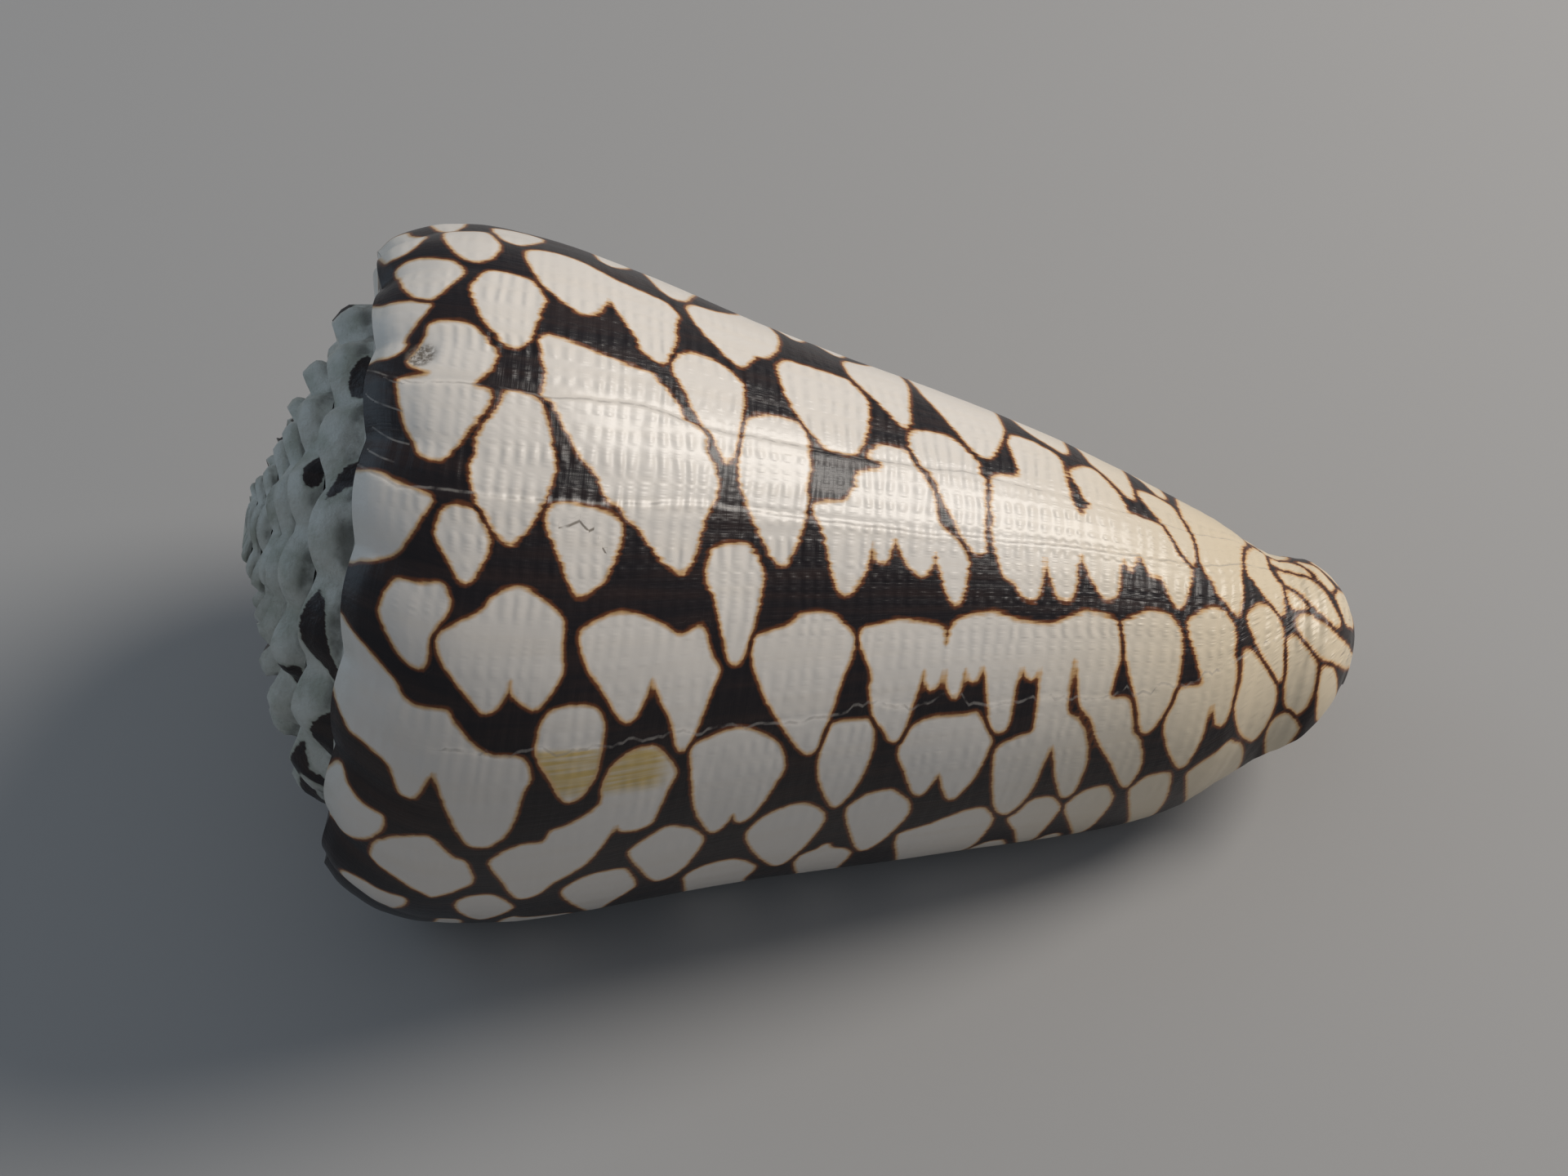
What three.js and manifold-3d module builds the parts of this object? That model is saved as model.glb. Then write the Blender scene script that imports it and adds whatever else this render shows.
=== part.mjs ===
// Cone shell lying on its aperture side: one closed solid with the last turn of its inside hollow.
// Millimetres. +Z is up, the apex points to -X, the siphonal end to +X, the photographer stands at -Y.
import * as THREE from 'three';
import Module from 'manifold-3d';

// Size of the whole shell, measured along and across its coiling axis.
const LENGTH = 84.6;
const CREST_RADIUS = 24.3;
const RADIUS_PER_TURN = 1.355;

// Where the outer lip starts at the shoulder, as an angle about the axis. 0 faces the photographer.
const LIP_ANGLE_DEG = 98;

// Height of the shoulder crest below the apex, per turn counted back from the lip.
const CREST_DEPTHS = [
  [-7, 0.35], [-6, 0.95], [-5, 1.6], [-4, 2.25], [-3, 2.95], [-2, 4.1], [-1, 6.2], [-0.4, 7.7], [-0.15, 8.6], [0, 9.6],
];
const SPIRE_TURNS = 7;

// Outline of the last turn: share of its length, share of the crest radius.
const OUTLINE = [
  [0, 1.0], [0.014, 1.056], [0.034, 1.099], [0.06, 1.136], [0.1, 1.157], [0.16, 1.142], [0.25, 1.075],
  [0.36, 0.966], [0.48, 0.861], [0.59, 0.774], [0.69, 0.685], [0.78, 0.589], [0.85, 0.496], [0.89, 0.415],
  [0.92, 0.371], [0.95, 0.361], [0.98, 0.297], [1.0, 0.2],
];

// How far a growth line runs ahead of the shoulder, in degrees, by share of the length.
const GROWTH_LEAN_DEG = [
  [0, 0], [0.1, 3], [0.4, -3.5], [0.7, -13], [0.82, -17], [0.88, -29], [0.94, -52], [1.0, -80],
];

// The siphonal end reaches furthest a little before the lip and lies further back away from there.
const END_PEAK_TURN = -0.22;
const END_BEND = 18;
const PILLAR_END_LAG = 7.5;

// The siphonal part of the last turn widens toward the lip.
const FLARE = 0.06;

// Low knobs along the shoulder crest.
const KNOBS_LAST_TURN = 20;
const KNOBS_PER_TURN = 1.2;
const KNOB_RELIEF = 0.55;
const KNOB_FADE = 0.07;

// The sunken ramp between two crests.
const RAMP_SINK = 0.35;
const SUTURE_ROW = 2;

// The hollow of the last turn.
const WALL_LIP = 1.0;
const WALL_BACK = 2.0;
const WALL_SHOULDER = 1.8;
const INNER_GLAZE = 0.3;
const PILLAR_RADIUS = 1.9;
const HOLLOW_SWEEP_DEG = 285;
const LIP_OVERRUN_DEG = 9;
const CANAL_SWEEP_DEG = 125;

// Mesh steps.
const COLUMNS = 80;
const HOLLOW_COLUMNS = 44;

// How the shell lies: rolled about its axis, then tipped with the siphonal end down.
const REST_ROLL_DEG = 37.4;
const REST_TIP_DEG = 12.65;

const TURN = Math.PI * 2;
const RAD = Math.PI / 180;

// Smooth curve through a table of [place, value] pairs, without overshoot.
function smoothTable(table) {
  const count = table.length;
  const slopes = [];
  for (let i = 0; i < count - 1; i += 1) {
    slopes.push((table[i + 1][1] - table[i][1]) / (table[i + 1][0] - table[i][0]));
  }
  const tangents = table.map((pair, i) => {
    if (i === 0) return slopes[0];
    if (i === count - 1) return slopes[count - 2];
    if (slopes[i - 1] * slopes[i] <= 0) return 0;
    return (2 * slopes[i - 1] * slopes[i]) / (slopes[i - 1] + slopes[i]);
  });
  return (place) => {
    const x = Math.min(Math.max(place, table[0][0]), table[count - 1][0]);
    let i = 0;
    while (i < count - 2 && x > table[i + 1][0]) i += 1;
    const width = table[i + 1][0] - table[i][0];
    const s = (x - table[i][0]) / width;
    const rise = s * s * (3 - 2 * s);
    const start = s * (1 - s) * (1 - s);
    const end = s * s * (s - 1);
    return table[i][1] * (1 - rise) + table[i + 1][1] * rise + width * (start * tangents[i] + end * tangents[i + 1]);
  };
}

const crestDepth = smoothTable(CREST_DEPTHS);
const outlineShare = smoothTable(OUTLINE);
const growthLeanDeg = smoothTable(GROWTH_LEAN_DEG);

function blend(a, b, s) {
  return a + (b - a) * s;
}

function smoothStep(low, high, value) {
  const s = Math.min(Math.max((value - low) / (high - low), 0), 1);
  return s * s * (3 - 2 * s);
}

// Radius of the crest at a turn count: 0 at the lip, -1 one turn earlier.
function crestRadius(turn) {
  return CREST_RADIUS * RADIUS_PER_TURN ** turn;
}

function endDepth(turn) {
  if (turn < -1) return crestDepth(turn) + (endDepth(-1) - crestDepth(-1)) * RADIUS_PER_TURN ** (turn + 1);
  return LENGTH - END_BEND * (turn - END_PEAK_TURN) ** 2;
}

function bodyRadius(turn, share) {
  const widening = 2 * smoothStep(-0.6, 0, turn) - 1;
  return crestRadius(turn) * outlineShare(share) * (1 + FLARE * smoothStep(0.62, 0.88, share) * widening);
}

function depthAt(turn, share) {
  return blend(crestDepth(turn), endDepth(turn), share);
}

// Point in the shell's own frame: x along the axis from the apex, angle about it.
function polar(depth, radius, angle) {
  return [depth, -radius * Math.sin(angle), radius * Math.cos(angle)];
}

// Height of the knobs: rounded tops with narrower gaps between them.
function knobWave(turn) {
  const phase = (KNOBS_LAST_TURN * KNOBS_PER_TURN ** turn) / Math.log(KNOBS_PER_TURN);
  return Math.sqrt(0.5 + 0.5 * Math.cos(TURN * phase)) - 0.45;
}

function outerPoint(turn, share) {
  const fade = Math.exp(-share / KNOB_FADE);
  const knob = KNOB_RELIEF * knobWave(turn) * fade * Math.min(1, crestRadius(turn) / 8);
  const radius = bodyRadius(turn, share) + knob;
  const angle = LIP_ANGLE_DEG * RAD + TURN * turn + growthLeanDeg(share) * RAD;
  return polar(depthAt(turn, share) - knob, radius, angle);
}

// Middle of the ramp between a crest and the suture inside it.
function rampPoint(turn) {
  const radius = (crestRadius(turn) + crestRadius(turn - 1) * OUTLINE[SUTURE_ROW][1]) / 2;
  return polar(crestDepth(turn) + RAMP_SINK, radius, LIP_ANGLE_DEG * RAD + TURN * turn);
}

// Point list and triangle list of a closed surface.
class Surface {
  constructor() {
    this.points = [];
    this.faces = [];
  }

  add(point) {
    this.points.push(point);
    return this.points.length - 1;
  }

  face(a, b, c) {
    this.faces.push(a, b, c);
  }

  quad(a, b, c, d) {
    this.face(a, b, c);
    this.face(a, c, d);
  }

  fan(loop) {
    for (let i = 1; i < loop.length - 1; i += 1) this.face(loop[0], loop[i], loop[i + 1]);
  }
}

// Outside of the shell as one filled solid: last turn, spire, lip face and siphonal end.
function filledShell() {
  const surface = new Surface();
  const rows = OUTLINE.length;
  const lastRow = rows - 1;
  const grid = [];
  const ramp = [];
  for (let i = 0; i <= SPIRE_TURNS * COLUMNS; i += 1) {
    const turn = -i / COLUMNS;
    const depthRows = i <= COLUMNS ? rows : SUTURE_ROW + 1;
    grid.push(Array.from({ length: depthRows }, (unused, k) => surface.add(outerPoint(turn, OUTLINE[k][0]))));
    if (i <= (SPIRE_TURNS - 1) * COLUMNS) ramp.push(surface.add(rampPoint(turn)));
  }
  const apex = surface.add([0, 0, 0]);
  const pillarEnd = surface.add([LENGTH - PILLAR_END_LAG, 0, 0]);
  for (let i = 0; i < SPIRE_TURNS * COLUMNS; i += 1) {
    const here = grid[i];
    const back = grid[i + 1];
    const last = i < COLUMNS ? lastRow : SUTURE_ROW;
    for (let k = 0; k < last; k += 1) surface.quad(here[k], here[k + 1], back[k + 1], back[k]);
    if (i < (SPIRE_TURNS - 1) * COLUMNS) {
      const inner = grid[i + COLUMNS][SUTURE_ROW];
      const innerBack = grid[i + COLUMNS + 1][SUTURE_ROW];
      surface.quad(ramp[i], here[0], back[0], ramp[i + 1]);
      surface.quad(inner, ramp[i], ramp[i + 1], innerBack);
    } else {
      surface.face(apex, here[0], back[0]);
    }
    if (i < COLUMNS) surface.face(here[lastRow], pillarEnd, back[lastRow]);
  }
  const lip = grid[0];
  const before = grid[COLUMNS];
  surface.fan([lip[SUTURE_ROW], lip[1], lip[0], ramp[0], before[SUTURE_ROW]]);
  for (let k = SUTURE_ROW; k < lastRow; k += 1) surface.quad(lip[k + 1], lip[k], before[k], before[k + 1]);
  surface.face(lip[lastRow], before[lastRow], pillarEnd);
  const first = grid[(SPIRE_TURNS - 1) * COLUMNS];
  const start = grid[SPIRE_TURNS * COLUMNS];
  surface.fan([apex, start[0], start[1], start[SUTURE_ROW], ramp[(SPIRE_TURNS - 1) * COLUMNS], first[0]]);
  return surface;
}

// Radius of the turn before, with its glaze, at a depth: the inner side of the hollow.
function innerRadius(turn, depth) {
  const start = crestDepth(turn - 1);
  const share = (depth - start) / (endDepth(turn - 1) - start);
  const body = bodyRadius(turn - 1, share) + INNER_GLAZE;
  return blend(body, PILLAR_RADIUS, smoothStep(0.93, 1.04, share));
}

// One section of the hollow at an angle before the lip, as a loop of points.
function hollowSection(behindDeg, depthRows) {
  const angle = (LIP_ANGLE_DEG - behindDeg) * RAD;
  const back = smoothStep(0, 40, behindDeg);
  const closing = smoothStep(CANAL_SWEEP_DEG, HOLLOW_SWEEP_DEG, behindDeg);
  const canalShut = smoothStep(CANAL_SWEEP_DEG - 30, CANAL_SWEEP_DEG, behindDeg);
  const wall = blend(WALL_LIP, WALL_BACK, back);
  const firstShare = blend(0.035, 0.08, closing);
  const lastShare = blend(blend(1.04, 0.95, canalShut), 0.72, closing);
  const outer = [];
  const inner = [];
  for (let i = 0; i < depthRows; i += 1) {
    const share = blend(firstShare, lastShare, i / (depthRows - 1));
    const lean = growthLeanDeg(share);
    const turn = Math.min((-behindDeg - lean) / 360, 0.25);
    const shoulder = WALL_SHOULDER * Math.exp(-(share - firstShare) / 0.03);
    const depth = depthAt(turn, share);
    const near = innerRadius(-behindDeg / 360, depth);
    const taper = i === 0 || i === depthRows - 1 ? 0.75 : 1;
    const far = Math.max(bodyRadius(turn, share) - wall - shoulder * 0.4, near + 0.8);
    outer.push(polar(depth, blend(near, far, taper), angle));
    inner.push(polar(depth, near, angle));
  }
  return outer.concat(inner.reverse());
}

// The space inside the last turn, running out through the aperture and the canal.
function hollow() {
  const surface = new Surface();
  const depthRows = 14;
  const loops = [];
  for (let i = 0; i <= HOLLOW_COLUMNS; i += 1) {
    const behind = blend(-LIP_OVERRUN_DEG, HOLLOW_SWEEP_DEG, i / HOLLOW_COLUMNS);
    loops.push(hollowSection(behind, depthRows).map((point) => surface.add(point)));
  }
  const size = loops[0].length;
  for (let i = 0; i < HOLLOW_COLUMNS; i += 1) {
    for (let k = 0; k < size; k += 1) {
      const next = (k + 1) % size;
      surface.quad(loops[i][k], loops[i][next], loops[i + 1][next], loops[i + 1][k]);
    }
  }
  for (let k = 0; k < depthRows - 1; k += 1) {
    const mirror = size - 1 - k;
    surface.quad(loops[0][k + 1], loops[0][k], loops[0][mirror], loops[0][mirror - 1]);
    const end = loops[HOLLOW_COLUMNS];
    surface.quad(end[k], end[k + 1], end[mirror - 1], end[mirror]);
  }
  return surface;
}

function solidOf(wasm, surface) {
  return new wasm.Manifold(new wasm.Mesh({
    numProp: 3,
    vertProperties: new Float32Array(surface.points.flat()),
    triVerts: new Uint32Array(surface.faces),
  }));
}

// Lay the shell down: roll about the axis, tip the siphonal end down, set it on the ground.
function layDown(geometry) {
  geometry.rotateX(REST_ROLL_DEG * RAD);
  geometry.rotateY(REST_TIP_DEG * RAD);
  geometry.computeBoundingBox();
  const box = geometry.boundingBox;
  geometry.translate(-(box.min.x + box.max.x) / 2, -(box.min.y + box.max.y) / 2, -box.min.z);
}

function geometryOf(solid) {
  const mesh = solid.getMesh();
  const geometry = new THREE.BufferGeometry();
  const positions = new Float32Array(mesh.numVert * 3);
  for (let i = 0; i < mesh.numVert; i += 1) {
    for (let axis = 0; axis < 3; axis += 1) {
      positions[3 * i + axis] = mesh.vertProperties[mesh.numProp * i + axis];
    }
  }
  geometry.setAttribute('position', new THREE.BufferAttribute(positions, 3));
  geometry.setIndex(new THREE.BufferAttribute(new Uint32Array(mesh.triVerts), 1));
  return geometry;
}

function glossyShell() {
  return new THREE.MeshStandardMaterial({ name: 'patterned_shell', color: 0xe8dfd0, roughness: 0.3 });
}

const wasm = await Module();
wasm.setup();

const coneShell = solidOf(wasm, filledShell()).subtract(solidOf(wasm, hollow()));
const geometry = geometryOf(coneShell);
layDown(geometry);
geometry.computeVertexNormals();

const shellMesh = new THREE.Mesh(geometry, glossyShell());
shellMesh.name = 'cone_shell';

const group = new THREE.Group();
group.name = 'cone_shell_part';
group.add(shellMesh);

export default group;
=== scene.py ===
import bpy
import numpy as np
from mathutils import Matrix, Vector, noise


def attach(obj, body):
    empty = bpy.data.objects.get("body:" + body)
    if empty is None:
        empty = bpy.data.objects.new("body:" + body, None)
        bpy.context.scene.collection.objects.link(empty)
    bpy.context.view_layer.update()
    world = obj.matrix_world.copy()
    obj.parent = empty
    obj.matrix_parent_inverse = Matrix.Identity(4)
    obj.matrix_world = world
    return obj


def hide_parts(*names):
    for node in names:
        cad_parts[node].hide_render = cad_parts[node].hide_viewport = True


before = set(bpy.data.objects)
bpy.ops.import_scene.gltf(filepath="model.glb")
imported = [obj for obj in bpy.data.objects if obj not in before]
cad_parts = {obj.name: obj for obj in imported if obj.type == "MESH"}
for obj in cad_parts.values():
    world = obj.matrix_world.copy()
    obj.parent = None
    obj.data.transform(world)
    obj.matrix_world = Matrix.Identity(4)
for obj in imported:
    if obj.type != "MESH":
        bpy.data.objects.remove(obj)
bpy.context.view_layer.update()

MM = 0.001
TURN = 2 * np.pi
RAD = np.pi / 180

# Size and coiling, the same values as in the solid.
LENGTH = 84.6
CREST_RADIUS = 24.3
RADIUS_PER_TURN = 1.355
LIP_ANGLE_DEG = 98.0
CREST_DEPTHS = [
    (-7, 0.35), (-6, 0.95), (-5, 1.6), (-4, 2.25), (-3, 2.95), (-2, 4.1), (-1, 6.2), (-0.4, 7.7),
    (-0.15, 8.6), (0, 9.6),
]
OUTLINE = [
    (0, 1.0), (0.014, 1.056), (0.034, 1.099), (0.06, 1.136), (0.1, 1.157), (0.16, 1.142), (0.25, 1.075),
    (0.36, 0.966), (0.48, 0.861), (0.59, 0.774), (0.69, 0.685), (0.78, 0.589), (0.85, 0.496), (0.89, 0.415),
    (0.92, 0.371), (0.95, 0.361), (0.98, 0.297), (1.0, 0.2),
]
GROWTH_LEAN_DEG = [
    (0, 0), (0.1, 3), (0.4, -3.5), (0.7, -13), (0.82, -17), (0.88, -29), (0.94, -52), (1.0, -80),
]
END_PEAK_TURN = -0.22
END_BEND = 18.0
FLARE = 0.06
FLARE_TURNS = (-0.6, 0)
FLARE_SHARES = (0.62, 0.88)
KNOBS_LAST_TURN = 20
KNOBS_PER_TURN = 1.2
KNOB_RELIEF = 0.55
KNOB_GAP = 0.45
KNOB_FADE = 0.07
KNOBBY_RADIUS = 8
RAMP_SINK = 0.35
SUTURE_SHARE = 0.034

# Length of the last turn along the axis, for distances on its surface and for the fine texture.
BODY_LENGTH = 76
HUNDREDTH = BODY_LENGTH / 100
TEXTURE_RADIUS = 22.0

# Finer relief than the solid has: knobs of uneven height, and the worn spire.
KNOB_SEED = 5
KNOB_SIZES = 400
UNEVEN_SPIRE = 0.55
UNEVEN_LAST_TURN = 0.25
SPIRE_KNOB_GAIN = 1.9
WALL_BULGE = 0.6
WALL_BULGE_SHARE = 0.036
BULGY_RADIUS = 12
WORN_RADIUS = 9
WORN_CENTRE = (3.0, 0, 0)
WORN_LUMPS = [(0.28, 2.6, 3), (0.1, 0.9, 4)]
SUTURE_TUCK = 0.3
SUTURE_TUCK_LARGE = 0.6
SUTURE_LARGE_RADIUS = 10
WORN_AT_CREST = 0.35
WORN_FADE = 4.5

# Spiral cords and growth lines of the last turn, stronger where the photograph shows it beaded.
CORD_SPACING = 1.25
CORD_RELIEF_MIDDLE = 0.003
CORD_RELIEF_END = 0.03
CORD_RELIEF_BEADED = 0.014
GROWTH_RELIEF = 0.002
GROWTH_RELIEF_BEADED = 0.012
BEADED_FROM_DEG = (-65, -45)
BEADED_TO_DEG = (-5, 15)

# The hollow of the last turn.
WALL_LIP = 0.9
WALL_BACK = 1.9
WALL_BLEND_DEG = 40
GLAZE = 0.3
GLAZE_START_DEG = 6
PILLAR_RADIUS = 1.9
PILLAR_SHARES = (0.93, 1.04)
PILLAR_TIP_LAG = 6.9
PILLAR_TIP_ROUND = 1.6
HOLLOW_SWEEP_DEG = 285
CANAL_SWEEP_DEG = 125
CANAL_CLOSES_DEG = 75
HOLLOW_FIRST_SHARE = 0.036
HOLLOW_FIRST_CLOSED = 0.08
HOLLOW_LAST_SHUT = 0.95
HOLLOW_LAST_CLOSED = 0.72
OPEN_GAP = 0.1
CLOSED_GAP = 0.05
RIM_BULGE = 0.3

# How the shell lies, and the solid's mesh steps, which give its place on the ground.
REST_ROLL_DEG = 37.4
REST_TIP_DEG = 12.65
SOLID_COLUMNS = 80

# Camera of the photograph, in the shell's own frame, from its outline in the picture.
CAMERA_PLACE = (9.42, -2.996, 221.7)
CAMERA_YAW = 0.1403
CAMERA_PITCH = -0.01474
CAMERA_ROLL = -0.12774
CAMERA_LENS = 67.5

# Mesh steps.
BODY_ROWS = 232
SHOULDER_ROWS = 24
SHOULDER_SHARE = 0.07
FINE_STEP_DEG = 0.87
COARSE_STEP_DEG = 1.9
FINE_FROM_DEG = -112.0
LEDGE_STEP_DEG = 0.5
LEDGE_ANGLES = [(-31.0, -24.0), (-14.0, -7.0), (27.0, 32.0)]
RAMP_ROWS = 7
WALL_ROWS = 7
WALL_LAST_SHARE = 0.05
SPIRE_TURNS = 10
OUTER_SPIRE_TURNS = 3
OUTER_SPIRE_STEPS = 120
INNER_SPIRE_STEPS = 50
INSIDE_COLUMNS = 60
INSIDE_ROWS = 46
LIP_ROWS = 6
END_ROWS = 8

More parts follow.
